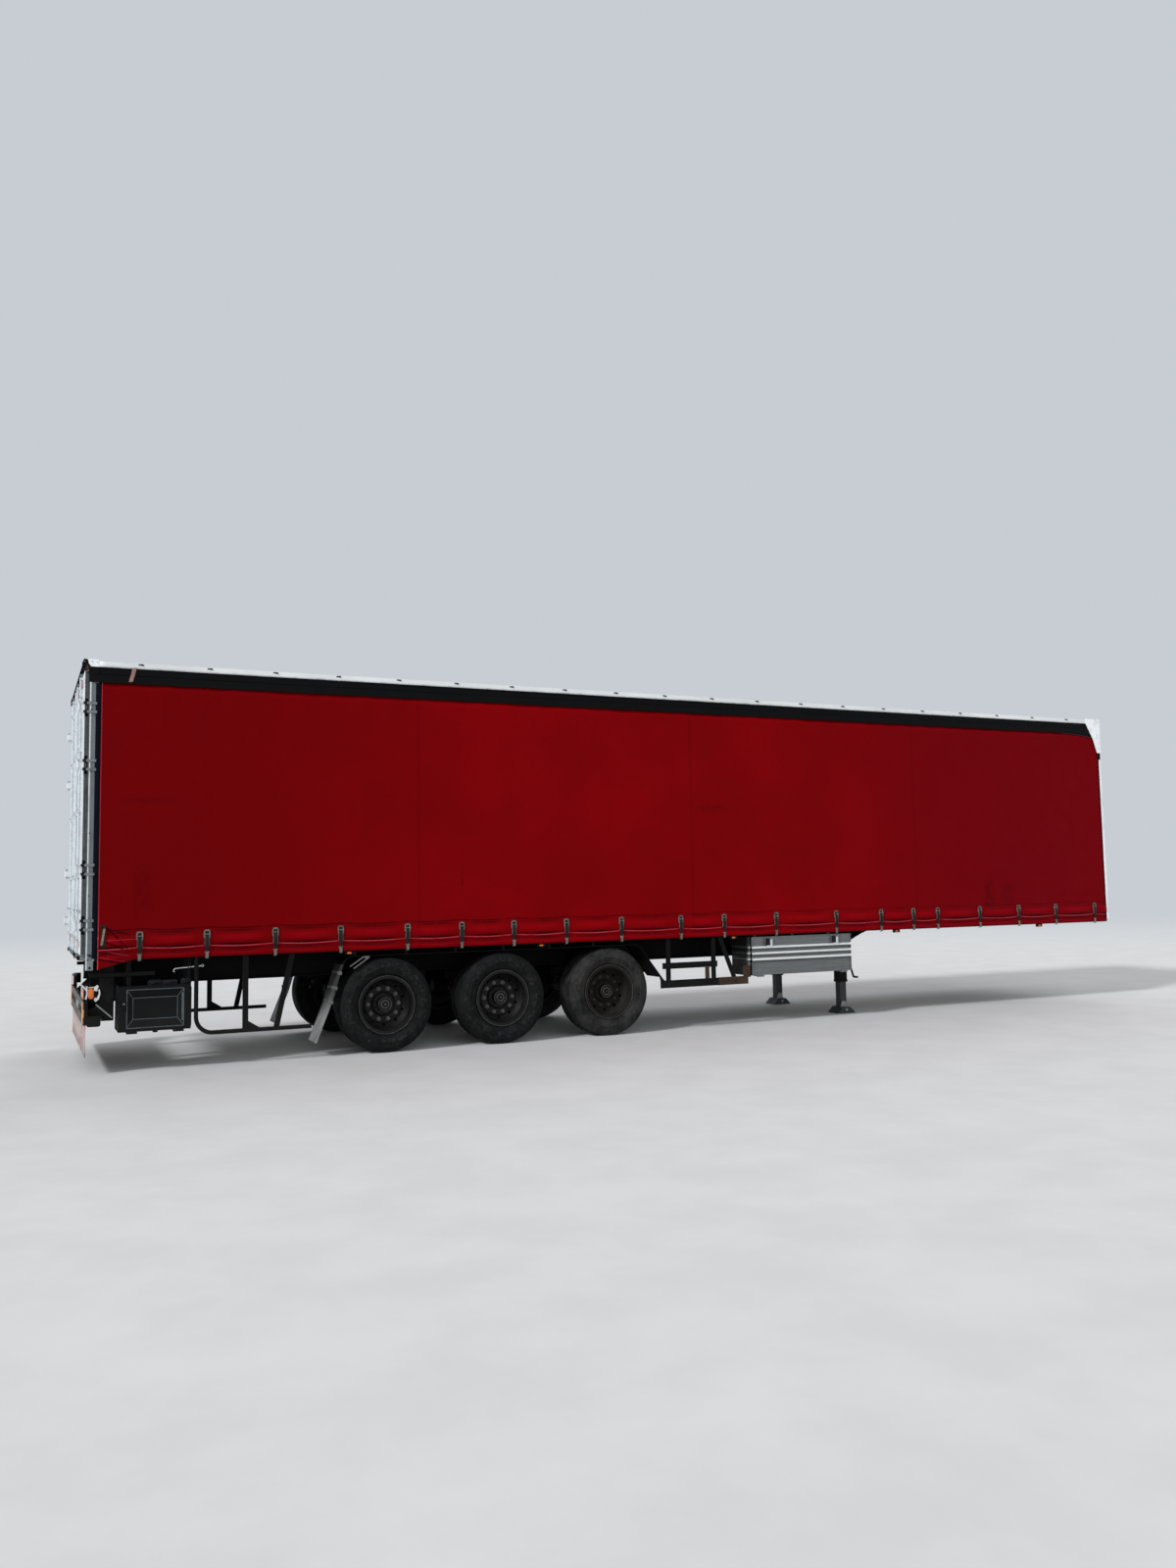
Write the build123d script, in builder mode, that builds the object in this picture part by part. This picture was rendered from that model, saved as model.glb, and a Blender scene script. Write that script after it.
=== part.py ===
from build123d import *
import os

# Tri-axle curtain-side semi trailer, parked on its extended landing legs.
# Millimetres. +X points forward, +Y to the vehicle's left, +Z up. The origin lies on the ground,
# half way along the length and the width.
# Places along the length are given forward from the doors' outer face.

os.makedirs("parts", exist_ok=True)

# Overall sizes
body_length = 13590
width = 2550
height = 4000
half_width = width / 2
fit_gap = 0.3
clear = 5

# Door hinge, set back so that a leaf folds flat along the side
knuckle_radius = 9
hinge_offset = 52
hinge_reach = hinge_offset + knuckle_radius
hinge_pin_radius = 5
hinge_knuckle = 60
hinge_lug = 25
hinge_y = half_width - knuckle_radius

overall_length = body_length + hinge_reach
rear_face_x = hinge_reach - overall_length / 2


def at(distance):
    """Model X of a place measured forward from the doors' outer face."""
    return rear_face_x + distance


# Chassis
deck_top = 1220
floor_thickness = 42
beam_y = 600
beam_flange_width = 120
beam_flange = 12
beam_web = 8
beam_top = deck_top - 30
beam_bottom = beam_top - 390
neck_bottom = beam_top - 80
neck_start = body_length - 4690
neck_end = neck_start + 1300
beam_front = body_length - 140
member_first = 420
member_last = body_length - 405
member_count = 24
member_pitch = (member_last - member_first) / (member_count - 1)
member_flange = 50
member_plate = 5
member_height = 90
neck_member_height = 50
slot_clearance = 1
member_top = beam_top - beam_flange
member_bottom = member_top - member_height
member_places = [member_first + i * member_pitch for i in range(member_count)]

# Side raves, curtains and their buckles
buckle_depth = 20
buckle_width = 44
curtain_thickness = 4
curtain_face = half_width - buckle_depth - fit_gap
curtain_back = curtain_face - curtain_thickness
rave_face = curtain_back - 6
rave_plate = 6
rave_shelf = 55
rave_bottom = deck_top - 145
rave_lip = 21
floor_edge = rave_face - rave_shelf
curtain_bottom = rave_bottom + clear
buckle_top = curtain_bottom + 265
hook_bottom = rave_bottom - 14
curtain_rear = 150
curtain_front = body_length - 10
buckle_places = (530, 1160, 1830, 2500, 3220, 3830, 4440, 5080, 5780, 6570,
                 7170, 7920, 8830, 9540, 10070, 10480, 11210, 11910, 12600, 13350)

# Rear frame
leaf_thickness = 40
leaf_gap = 7
post_rear = leaf_thickness + leaf_gap
post_depth = 75
post_front = post_rear + post_depth
post_face = half_width - 13
post_inner = post_face - 82
frame_top = height - 15
sill_bottom = deck_top - 140
sill_lip_top = sill_bottom + 50
header_bottom = frame_top - 135

# Front wall
front_post_depth = 130
front_post_inner = half_width - 145
front_post_face = curtain_back - clear
front_rear = body_length - front_post_depth
panel_thickness = 30
panel_setback = 40
panel_rib = 12
panel_rib_width = 60
panel_rib_count = 9
socket_height = deck_top + 190
socket_plate = 15
cap_low = height - 500
cap_high = height - 8
cap_length = 240
cap_wall = 7

# Roof and cant rails
rail_top = height - 80
rail_bottom = rail_top - 150
rail_step = rail_top - 75
rail_face = half_width - 9
rail_upper_face = rail_face - 10
rail_inner = rail_face - 70
rail_slot = 24
rail_slot_depth = 35
roof_edge = height - 22
roof_skin = 6
roof_half = half_width - 7
bow_height = 38
bow_width = 40
bow_half = roof_half - 18
bow_first = 510
bow_last = body_length - 616
bow_count = 20
bow_pitch = (bow_last - bow_first) / (bow_count - 1)
bow_foot = 45

# Rear doors
leaf_bottom = sill_lip_top + 10
leaf_top = header_bottom + 30
leaf_inner = 7
leaf_edge = half_width - 25
leaf_frame = 45
leaf_raise = 3
rod_radius = 13
rod_stand = 17
rod_places = (190, 820)
rod_guides = (leaf_bottom + 160, leaf_bottom + 760, leaf_top - 1330, leaf_top - 730, leaf_top - 180)
hinge_heights = (leaf_bottom + 280, leaf_bottom + 810, leaf_top - 920, leaf_top - 360)
handle_height = leaf_bottom + 420
handle_length = 360

# Wheels and axles
axle_pitch = 1310
axle_places = (3000, 3000 + axle_pitch, 3000 + 2 * axle_pitch)
tyre_radius = 498
tyre_width = 385
tread_width = 310
tyre_wall = 22
bead_radius = 286
wheel_y = half_width - 12 - tyre_width / 2
rim_half = 149
rim_lip = 306
disc_out = 38
hub_cap_out = 84
hub_cap_radius = 72
drum_radius = 206
drum_in = 190
drum_out = 60
spindle_radius = 45
nut_circle = 335 / 2
nut_count = 10
nut_size = 17
hand_hole_circle = 215
hand_hole = 16
axle_square = 120
spindle_reach = wheel_y + 4

# Suspension
arm_width = 90
pivot_ahead = 500
pivot_height = 560
pin_radius = 15
arm_seat = 600
spring_behind = 300
spring_radius = 150
hanger_plate = 10
hanger_bottom = 495

# Coupling
coupler_rear = body_length - 2390
coupler_thickness = 10
coupler_half = 700
kingpin_place = body_length - 1540
kingpin_collar = 36.5
kingpin_neck = 25.4
kingpin_flange = 35.75
kingpin_collar_height = 30
kingpin_neck_height = 35
kingpin_flange_height = 19

# Landing legs
leg_place = body_length - 4330
leg_size = 120
leg_bracket = 12
leg_inner_size = 96
leg_housing_bottom = 400
leg_y = beam_y + beam_flange_width / 2 + leg_bracket + leg_size / 2
shoe_length = 260
shoe_width = 220
shaft_height = 740
gearbox_width = 70
crank_length = 270

# Side boxes, each with a drop-down front on two knuckle hinges
box_face = half_width - 70
lid_back = box_face + clear
lid_axis_y = half_width - 30
lid_knuckle = 8
lid_pin = 4
lid_thickness = 36
lid_recess = 20
toolbox_rear, toolbox_front = 350, 1020
toolbox_bottom, toolbox_top = 380, 820
toolbox_inner = box_face - 445
locker_front = leg_place - 210
locker_rear = locker_front - 1490
locker_bottom, locker_top = 585, 1052
locker_inner = box_face - 415
door_face = lid_back + 26
door_rib = 14
door_rib_tops = (936, 864, 792)

# Guards, mudguards and rear board
guard_tube = 21
guard_y = half_width - 35
guard_low = 330
guard_rear = 1065
guard_front = 2200
guard_bend = 160
rack_rear = axle_places[2] + 710
rack_front = locker_rear - 60
rack_low, rack_high = 498, 720
rack_plank = 88
rack_plate = 26
upright_depth = 18
upright_half = 28
mudguard_height = 1022
mudguard_sheet = 4
mudguard_outer = half_width - 25
mudguard_inner = mudguard_outer - 370
board_rear, board_front = 30, 62
board_bottom, board_top = 475, 700
board_groove = 10
underrun_front = 189
underrun_bottom, underrun_top = 456, 558
arm_front = 560
plate_y = 1140
plate_rear, plate_front = 180, 312
ear_top = 830
ear_inner = 850
ear_front = board_front + 10
board_half = half_width - 13
flap_bottom = 170
flap_thickness = 8
flap_foot = 150


def save(piece, label):
    """Name a finished piece and write its file."""
    piece.label = label
    export_step(piece, f"parts/{label}.step")


def beam_side(distance, lift, drop):
    """Side outline of a main beam, its lower edge raised by lift and its upper edge lowered by drop."""
    low = beam_bottom + lift
    neck = neck_bottom + lift
    top = beam_top - drop
    middle = (at((neck_start + neck_end) / 2), (low + neck) / 2)
    with BuildSketch(Plane.XZ.offset(distance)) as outline:
        with BuildLine():
            run = Line((at(post_front), low), (at(neck_start), low))
            rise = TangentArc(run @ 1, middle, tangent=run % 1)
            level = TangentArc(middle, (at(neck_end), neck), tangent=rise % 1)
            Polyline(level @ 1, (at(beam_front), neck), (at(beam_front), top), (at(post_front), top), run @ 0)
        make_face()
    return outline.sketch


def member_depth(place):
    """Cross-member height at a place, lower where the frame narrows over the coupling."""
    return member_height if place < neck_end - member_pitch else neck_member_height


# Main beams, with a slot in the web for each cross-member
with BuildPart() as main_beams:
    half_flange = beam_flange_width / 2
    pocket = half_flange - beam_web / 2
    extrude(beam_side(beam_y, 0, 0), amount=half_flange, both=True)
    extrude(beam_side(beam_y + beam_web / 2, beam_flange, beam_flange), amount=pocket, mode=Mode.SUBTRACT)
    extrude(beam_side(beam_y - beam_web / 2, beam_flange, beam_flange), amount=-pocket, mode=Mode.SUBTRACT)
    for place in member_places:
        depth = member_depth(place) + slot_clearance
        with Locations((at(place) - slot_clearance, -beam_y, member_top)):
            Box(member_flange + 2 * slot_clearance, 2 * beam_web, depth,
                align=(Align.MIN, Align.CENTER, Align.MAX), mode=Mode.SUBTRACT)
    mirror(about=Plane.XZ)
save(main_beams.part, "main_beams")

# Cross-members, pressed channels that pass through the main beams
with BuildPart() as cross_members:
    with BuildSketch(Plane.XZ):
        for place in member_places:
            depth = member_depth(place)
            with Locations((at(place), member_top)):
                Rectangle(member_flange, depth, align=(Align.MIN, Align.MAX))
            with Locations((at(place) + member_plate, member_top - member_plate)):
                Rectangle(member_flange, depth - 2 * member_plate, align=(Align.MIN, Align.MAX),
                          mode=Mode.SUBTRACT)
    extrude(amount=rave_face - rave_plate, both=True)
save(cross_members.part, "cross_members")

# Side raves, the rolled edge profiles that the curtains hook under
with BuildPart() as side_raves:
    with BuildSketch(Plane.YZ.offset(at(post_front))):
        with BuildLine():
            Polyline((floor_edge, deck_top), (rave_face, deck_top), (rave_face, rave_bottom),
                     (rave_face - rave_lip, rave_bottom), (rave_face - rave_lip, rave_bottom + rave_plate),
                     (rave_face - rave_plate, rave_bottom + rave_plate),
                     (rave_face - rave_plate, deck_top - rave_plate),
                     (floor_edge, deck_top - rave_plate), close=True)
        make_face()
    extrude(amount=body_length - post_front)
    mirror(about=Plane.XZ)
save(side_raves.part, "side_raves")

# Floor, rebated over the top flanges of the beams
with BuildPart() as floor_deck:
    with BuildSketch(Plane.YZ.offset(at(post_front))):
        with Locations((0, deck_top)):
            Rectangle(2 * floor_edge, floor_thickness, align=(Align.CENTER, Align.MAX))
        with Locations((-beam_y, member_top), (beam_y, member_top)):
            Rectangle(beam_flange_width, beam_flange, align=(Align.CENTER, Align.MIN), mode=Mode.SUBTRACT)
    extrude(amount=body_length - post_front)
save(floor_deck.part, "floor_deck")

# Coupler plate
plate_low = neck_bottom - coupler_thickness
with BuildPart() as coupler_plate:
    with BuildSketch(Plane.XY.offset(plate_low)):
        with Locations(((at(coupler_rear) + at(beam_front)) / 2, 0)):
            Rectangle(beam_front - coupler_rear, 2 * coupler_half)
    extrude(amount=coupler_thickness)
    chamfer(coupler_plate.edges().filter_by(Axis.Z), 120)
save(coupler_plate.part, "coupler_plate")

# Kingpin: collar, neck and lower flange
pin_low = plate_low - kingpin_collar_height - kingpin_neck_height - kingpin_flange_height
with BuildPart() as kingpin:
    with BuildSketch(Plane.XZ):
        with BuildLine():
            Polyline((at(kingpin_place), plate_low), (at(kingpin_place) + kingpin_collar, plate_low),
                     (at(kingpin_place) + kingpin_collar, plate_low - kingpin_collar_height),
                     (at(kingpin_place) + kingpin_neck, plate_low - kingpin_collar_height),
                     (at(kingpin_place) + kingpin_neck, pin_low + kingpin_flange_height),
                     (at(kingpin_place) + kingpin_flange, pin_low + kingpin_flange_height),
                     (at(kingpin_place) + kingpin_flange, pin_low), (at(kingpin_place), pin_low), close=True)
        make_face()
    revolve(axis=Axis((at(kingpin_place), 0, 0), (0, 0, 1)))
save(kingpin.part, "kingpin")

# Front posts with the header between them
with BuildPart() as front_posts:
    with BuildSketch(Plane.XY.offset(deck_top)):
        for side in (-1, 1):
            with Locations((at(front_rear), side * front_post_face)):
                Rectangle(front_post_depth, front_post_face - front_post_inner,
                          align=(Align.MIN, Align.MAX if side > 0 else Align.MIN))
    extrude(amount=frame_top - deck_top)
    with Locations((at(front_rear), 0, frame_top)):
        Box(front_post_depth, 2 * (front_post_inner - fit_gap), frame_top - header_bottom,
            align=(Align.MIN, Align.CENTER, Align.MAX))
save(front_posts.part, "front_posts")

# Front wall: a ribbed panel with the air and lamp sockets
with BuildPart() as front_wall:
    with BuildSketch(Plane.XY.offset(deck_top)):
        with Locations((at(body_length - panel_setback - panel_thickness), 0)):
            Rectangle(panel_thickness, 2 * (front_post_inner - fit_gap), align=(Align.MIN, Align.CENTER))
        rib_pitch = 2 * front_post_inner / panel_rib_count
        rib_places = [(i - (panel_rib_count - 1) / 2) * rib_pitch for i in range(panel_rib_count)]
        with Locations(*[(at(body_length - panel_setback), y) for y in rib_places]):
            Rectangle(panel_rib, panel_rib_width, align=(Align.MIN, Align.CENTER))
    extrude(amount=header_bottom - fit_gap - deck_top)
    socket_plane = Plane.YZ.offset(at(body_length - panel_setback))
    with BuildSketch(socket_plane):
        with Locations((0, socket_height)):
            RectangleRounded(560, 150, 20)
    extrude(amount=socket_plate)
    with BuildSketch(socket_plane.offset(socket_plate)):
        with Locations(*[(y, socket_height) for y in (-210, -70, 70, 210)]):
            Circle(34)
    extrude(amount=panel_setback - socket_plate)
save(front_wall.part, "front_wall")

# Moulded corner caps at the top of the front wall
cap_rear = body_length - cap_length
with BuildPart() as front_corner_caps:
    cap_back = roof_half + fit_gap
    with BuildSketch(Plane.XZ.offset(-cap_back)):
        with BuildLine():
            Polyline((at(cap_rear), rail_top), (at(cap_rear), cap_high), (at(body_length), cap_high),
                     (at(body_length), cap_low), (at(body_length - 40), cap_low),
                     (at(body_length - 110), cap_low + 200), close=True)
        make_face()
    extrude(amount=cap_back - half_width)
    with Locations((at(body_length), half_width, cap_low)):
        Box(cap_wall, half_width - front_post_face, cap_high - cap_low,
            align=(Align.MAX, Align.MAX, Align.MIN))
    mirror(about=Plane.XZ)
save(front_corner_caps.part, "front_corner_caps")

# Cant rails, stepped outside and slotted below for the curtain runners
with BuildPart() as cant_rails:
    with BuildSketch(Plane.YZ.offset(at(post_front))):
        with BuildLine():
            slot_inner = rail_inner + 20
            slot_outer = slot_inner + rail_slot
            slot_roof = rail_bottom + rail_slot_depth
            Polyline((rail_inner, rail_bottom), (slot_inner, rail_bottom), (slot_inner, slot_roof),
                     (slot_outer, slot_roof),
                     (slot_outer, rail_bottom), (rail_face, rail_bottom), (rail_face, rail_step),
                     (rail_upper_face, rail_step + 10),
                     (rail_upper_face, rail_top), (rail_inner, rail_top), close=True)
        make_face()
    extrude(amount=front_rear - post_front)
    mirror(about=Plane.XZ)
save(cant_rails.part, "cant_rails")

# Sliding pillars between deck and cant rail
pillar_pitch = 3340
pillar_places = [3460 + i * pillar_pitch for i in range(3)]
pillar_size = 110
pillar_face = rave_face - 20
with BuildPart() as side_pillars:
    with BuildSketch(Plane.XY.offset(deck_top)):
        for place in pillar_places:
            with Locations((at(place), pillar_face)):
                Rectangle(pillar_size, pillar_size, align=(Align.CENTER, Align.MAX))
            with Locations((at(place), pillar_face - 20)):
                Rectangle(60, pillar_size, align=(Align.CENTER, Align.MAX), mode=Mode.SUBTRACT)
    extrude(amount=rail_bottom - deck_top)
    mirror(about=Plane.XZ)
save(side_pillars.part, "side_pillars")


def roof_arc(half, drop):
    """Cambered roof line between two half widths, lowered by drop."""
    fall = (height - roof_edge) * (half / roof_half) ** 2
    edge = height - fall - drop
    return ThreePointArc((-half, edge), (0, height - drop), (half, edge))


# Roof bows with their feet on the cant rails
bow_drop = roof_skin + fit_gap
with BuildPart() as roof_bows:
    with BuildSketch(Plane.YZ) as bow_section:
        with BuildLine():
            upper = roof_arc(bow_half, bow_drop)
            lower = roof_arc(bow_half - bow_foot, bow_drop + bow_height)
            Polyline(upper @ 0, (-bow_half, rail_top), (bow_foot - bow_half, rail_top), lower @ 0)
            Polyline(lower @ 1, (bow_half - bow_foot, rail_top), (bow_half, rail_top), upper @ 1)
        make_face()
    extrude(amount=bow_width)
bow_places = [at(bow_first + i * bow_pitch - bow_width / 2) for i in range(bow_count)]
with BuildPart() as all_bows:
    with Locations(*[(x, 0, 0) for x in bow_places]):
        add(roof_bows.part)
save(all_bows.part, "roof_bows")

# Roof sheet with its side skirts
with BuildPart() as roof_sheet:
    with BuildSketch(Plane.YZ.offset(at(post_front))):
        skirt_bottom = rail_top + fit_gap
        with BuildLine():
            outer = roof_arc(roof_half, 0)
            inner = roof_arc(roof_half - roof_skin, roof_skin)
            Polyline(outer @ 0, (-roof_half, skirt_bottom), (roof_skin - roof_half, skirt_bottom), inner @ 0)
            Polyline(inner @ 1, (roof_half - roof_skin, skirt_bottom), (roof_half, skirt_bottom), outer @ 1)
        make_face()
    extrude(amount=front_rear - post_front)
save(roof_sheet.part, "roof_sheet")

# Rear posts, pressed channels with a groove down the outer face
with BuildPart() as rear_posts:
    with BuildSketch(Plane.XY.offset(sill_bottom)):
        with Locations((at(post_rear), post_face)):
            Rectangle(post_depth, post_face - post_inner, align=(Align.MIN, Align.MAX))
        with Locations((at(post_rear) + post_depth / 2, post_face)):
            Rectangle(36, 10, align=(Align.CENTER, Align.MAX), mode=Mode.SUBTRACT)
    extrude(amount=frame_top - sill_bottom)
    mirror(about=Plane.XZ)
save(rear_posts.part, "rear_posts")

# Rear header with the upper keepers
with BuildPart() as rear_header:
    with BuildSketch(Plane.YZ.offset(at(post_rear))):
        with Locations((0, frame_top)):
            Rectangle(2 * post_inner, frame_top - header_bottom, align=(Align.CENTER, Align.MAX))
    extrude(amount=post_depth)
    for side in (-1, 1):
        with Locations(*[(at(-25), side * y, leaf_top + 6) for y in rod_places]):
            Box(post_rear + 25, 44, 26, align=(Align.MIN, Align.CENTER, Align.MIN))
save(rear_header.part, "rear_header")

# Rear sill with its step below the doors and the lower keepers
with BuildPart() as rear_sill:
    with BuildSketch(Plane.XZ):
        with BuildLine():
            Polyline((at(0), sill_bottom), (at(post_front), sill_bottom), (at(post_front), deck_top),
                     (at(post_rear), deck_top), (at(post_rear), sill_lip_top), (at(0), sill_lip_top),
                     close=True)
        make_face()
    extrude(amount=post_inner, both=True)
    for side in (-1, 1):
        with Locations(*[(at(0), side * y, sill_lip_top) for y in rod_places]):
            Box(25, 44, 36, align=(Align.MAX, Align.CENTER, Align.MAX))
save(rear_sill.part, "rear_sill")


# Fixed hinge lugs with their pins
with BuildPart() as door_hinges:
    for z in hinge_heights:
        for low in (z - hinge_knuckle / 2 - fit_gap - hinge_lug, z + hinge_knuckle / 2 + fit_gap):
            with BuildSketch(Plane.XY.offset(low)):
                with Locations((at(-hinge_offset), hinge_y)):
                    Circle(knuckle_radius)
                with Locations((at(-hinge_offset), post_face)):
                    Rectangle(hinge_offset + post_front - 12, 9, align=(Align.MIN, Align.MIN))
            extrude(amount=hinge_lug)
        with Locations((at(-hinge_offset), hinge_y, z)):
            Cylinder(hinge_pin_radius, hinge_knuckle + 2 * hinge_lug)
    mirror(about=Plane.XZ)
save(door_hinges.part, "door_hinges")


def door_leaf(side):
    """One rear door with its hinge straps, on the side +1 for left or -1 for right."""
    with BuildPart() as leaf:
        with BuildSketch(Plane.YZ.offset(at(0))):
            with Locations((side * (leaf_inner + leaf_edge) / 2, (leaf_bottom + leaf_top) / 2)):
                Rectangle(leaf_edge - leaf_inner, leaf_top - leaf_bottom)
        extrude(amount=leaf_thickness)
        with BuildSketch(Plane.YZ.offset(at(-leaf_raise))):
            with Locations((side * (leaf_inner + leaf_edge) / 2, (leaf_bottom + leaf_top) / 2)):
                Rectangle(leaf_edge - leaf_inner, leaf_top - leaf_bottom)
                Rectangle(leaf_edge - leaf_inner - 2 * leaf_frame, leaf_top - leaf_bottom - 2 * leaf_frame,
                          mode=Mode.SUBTRACT)
        extrude(amount=leaf_raise)
        for z in hinge_heights:
            with BuildSketch(Plane.XY.offset(z - hinge_knuckle / 2)):
                with Locations((at(-hinge_offset), side * hinge_y)):
                    Circle(knuckle_radius)
                with Locations((at(-hinge_offset), side * hinge_y)):
                    Rectangle(hinge_offset, knuckle_radius,
                              align=(Align.MIN, Align.MAX if side > 0 else Align.MIN))
                with Locations((at(-8), side * hinge_y)):
                    Rectangle(8, 200, align=(Align.MIN, Align.MAX if side > 0 else Align.MIN))
                with Locations((at(-hinge_offset), side * hinge_y)):
                    Circle(hinge_pin_radius + fit_gap, mode=Mode.SUBTRACT)
            extrude(amount=hinge_knuckle)
    return leaf.part


def lock_rods(side):
    """Two lock rods of a door with guides, cams and handles."""
    with BuildPart() as rods:
        for place in rod_places:
            with Locations((at(-rod_stand), side * place, leaf_bottom + 4)):
                Cylinder(rod_radius, leaf_top - leaf_bottom - 8,
                         align=(Align.CENTER, Align.CENTER, Align.MIN))
            with Locations(*[(at(-leaf_raise), side * place, z) for z in (leaf_bottom + 16, leaf_top - 16)]):
                Box(28, 60, 24, align=(Align.MAX, Align.CENTER, Align.CENTER))
            with Locations(*[(at(0), side * place, z) for z in rod_guides]):
                Box(30, 56, 46, align=(Align.MAX, Align.CENTER, Align.CENTER))
            with Locations((at(-rod_stand), side * place, handle_height)):
                Box(8, handle_length, 26,
                    align=(Align.MAX, Align.MIN if side > 0 else Align.MAX, Align.CENTER))
            with Locations((at(0), side * (place + handle_length - 40), handle_height)):
                Box(rod_stand, 40, 40, align=(Align.MAX, Align.CENTER, Align.CENTER))
    return rods.part


for side, name in ((1, "left"), (-1, "right")):
    save(door_leaf(side), f"rear_door_{name}")
    save(lock_rods(side), f"lock_rods_{name}")

# Curtains
for side, name in ((1, "left"), (-1, "right")):
    with BuildPart() as curtain:
        with Locations((at(curtain_rear), side * curtain_back, curtain_bottom)):
            Box(curtain_front - curtain_rear, curtain_thickness, rail_bottom - fit_gap - curtain_bottom,
                align=(Align.MIN, Align.MIN if side > 0 else Align.MAX, Align.MIN))
    save(curtain.part, f"curtain_{name}")

# Curtain buckles: strap, over-centre frame and lever, and a hook under the rave
with BuildPart() as buckle:
    with BuildSketch(Plane.YZ.offset(-buckle_width / 2)):
        with BuildLine():
            strap_face = curtain_face + 6
            Polyline((curtain_face + fit_gap, buckle_top), (curtain_face + 4, buckle_top),
                     (curtain_face + 4, buckle_top - 95),
                     (half_width - 2, buckle_top - 110), (half_width - 2, buckle_top - 195),
                     (strap_face, buckle_top - 230),
                     (strap_face, hook_bottom), (rave_face - 12, hook_bottom),
                     (rave_face - 12, rave_bottom - fit_gap),
                     (curtain_face + fit_gap, rave_bottom - fit_gap), close=True)
        make_face()
    extrude(amount=buckle_width)
    with BuildSketch(Plane.XZ.offset(-(curtain_face + fit_gap))):
        with Locations((0, buckle_top - 47)):
            Rectangle(buckle_width + 18, 94)
            Rectangle(buckle_width - 10, 44, mode=Mode.SUBTRACT)
    extrude(amount=-(buckle_depth - 2))
with BuildPart() as curtain_buckles:
    with Locations(*[(at(place), 0, 0) for place in buckle_places]):
        add(buckle.part)
    mirror(about=Plane.XZ)
save(curtain_buckles.part, "curtain_buckles")

# Rear board with its ears for the lamps, on an underrun beam with two arms and two side plates
with BuildPart() as rear_board:
    with BuildSketch(Plane.XZ):
        with BuildLine():
            Polyline((at(board_rear), board_bottom), (at(board_front), board_bottom),
                     (at(board_front), board_top),
                     (at(board_rear), board_top), (at(board_rear), board_top - 70),
                     (at(board_rear + board_groove), board_top - 80),
                     (at(board_rear + board_groove), board_bottom + 80), (at(board_rear), board_bottom + 70),
                     close=True)
        make_face()
        with BuildLine():
            bar = FilletPolyline((at(board_front), underrun_top), (at(board_front), underrun_bottom),
                                 (at(underrun_front), underrun_bottom), (at(underrun_front), underrun_top),
                                 radius=24)
            Line(bar @ 1, bar @ 0)
        make_face()
    extrude(amount=board_half, both=True)
    for side in (-1, 1):
        with Locations((at(board_front), side * board_half, board_bottom + 90)):
            Box(ear_front - board_front, board_half - ear_inner, ear_top - board_bottom - 90,
                align=(Align.MIN, Align.MAX if side > 0 else Align.MIN, Align.MIN))
        with BuildSketch(Plane.XZ.offset(side * beam_y)):
            with BuildLine():
                Polyline((at(board_front), underrun_top), (at(board_front), board_top),
                         (at(post_front + 40), beam_bottom),
                         (at(arm_front), beam_bottom), (at(arm_front), beam_bottom - 30),
                         (at(underrun_front + 50), underrun_top),
                         close=True)
            make_face()
        extrude(amount=8, both=True)
        with BuildSketch(Plane.XZ.offset(side * plate_y)):
            with BuildLine():
                floor_bottom = deck_top - floor_thickness - fit_gap
                Polyline((at(board_front), underrun_top), (at(board_front), underrun_top + 40),
                         (at(plate_rear), underrun_top + 100),
                         (at(plate_rear), floor_bottom), (at(plate_front), floor_bottom),
                         (at(plate_front), underrun_bottom + 40),
                         (at(plate_rear), underrun_bottom + 40), (at(plate_rear), underrun_top), close=True)
            make_face()
        extrude(amount=5, both=True)
save(rear_board.part, "rear_board")

# Lamps: clusters on the ears, blank end plates, side lamps and amber markers under the raves
marker_places = (2600, 4780, 7310, 9800, 12300)
with BuildPart() as lamps:
    with BuildSketch(Plane.YZ.offset(at(board_rear))):
        with Locations(((ear_inner + board_half) / 2, (board_top + ear_top) / 2)):
            RectangleRounded(board_half - ear_inner - 20, ear_top - board_top - 16, 14)
    extrude(amount=board_front - board_rear - fit_gap)
    with Locations((at(board_rear), board_half - 82, (board_bottom + board_top) / 2)):
        Box(8, 140, board_top - board_bottom - 10, align=(Align.MAX, Align.CENTER, Align.CENTER))
    with Locations((at(ear_front + fit_gap), board_half - 8, ear_top - 4)):
        Box(56, 46, 110, align=(Align.MIN, Align.MAX, Align.MAX))
    with Locations(*[(at(place), rave_face - rave_lip, rave_bottom) for place in marker_places]):
        Box(110, rave_lip + 8, 38, align=(Align.CENTER, Align.MIN, Align.MAX))
    mirror(about=Plane.XZ)
save(lamps.part, "lamps")

# Rubber apron below the rear board
with BuildPart() as rear_flap:
    with Locations((at(board_rear + 20), 0, board_bottom - fit_gap)):
        Box(flap_thickness, 2 * board_half - 24, board_bottom - fit_gap - flap_bottom,
            align=(Align.MIN, Align.CENTER, Align.MAX))
save(rear_flap.part, "rear_flap")

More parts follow.
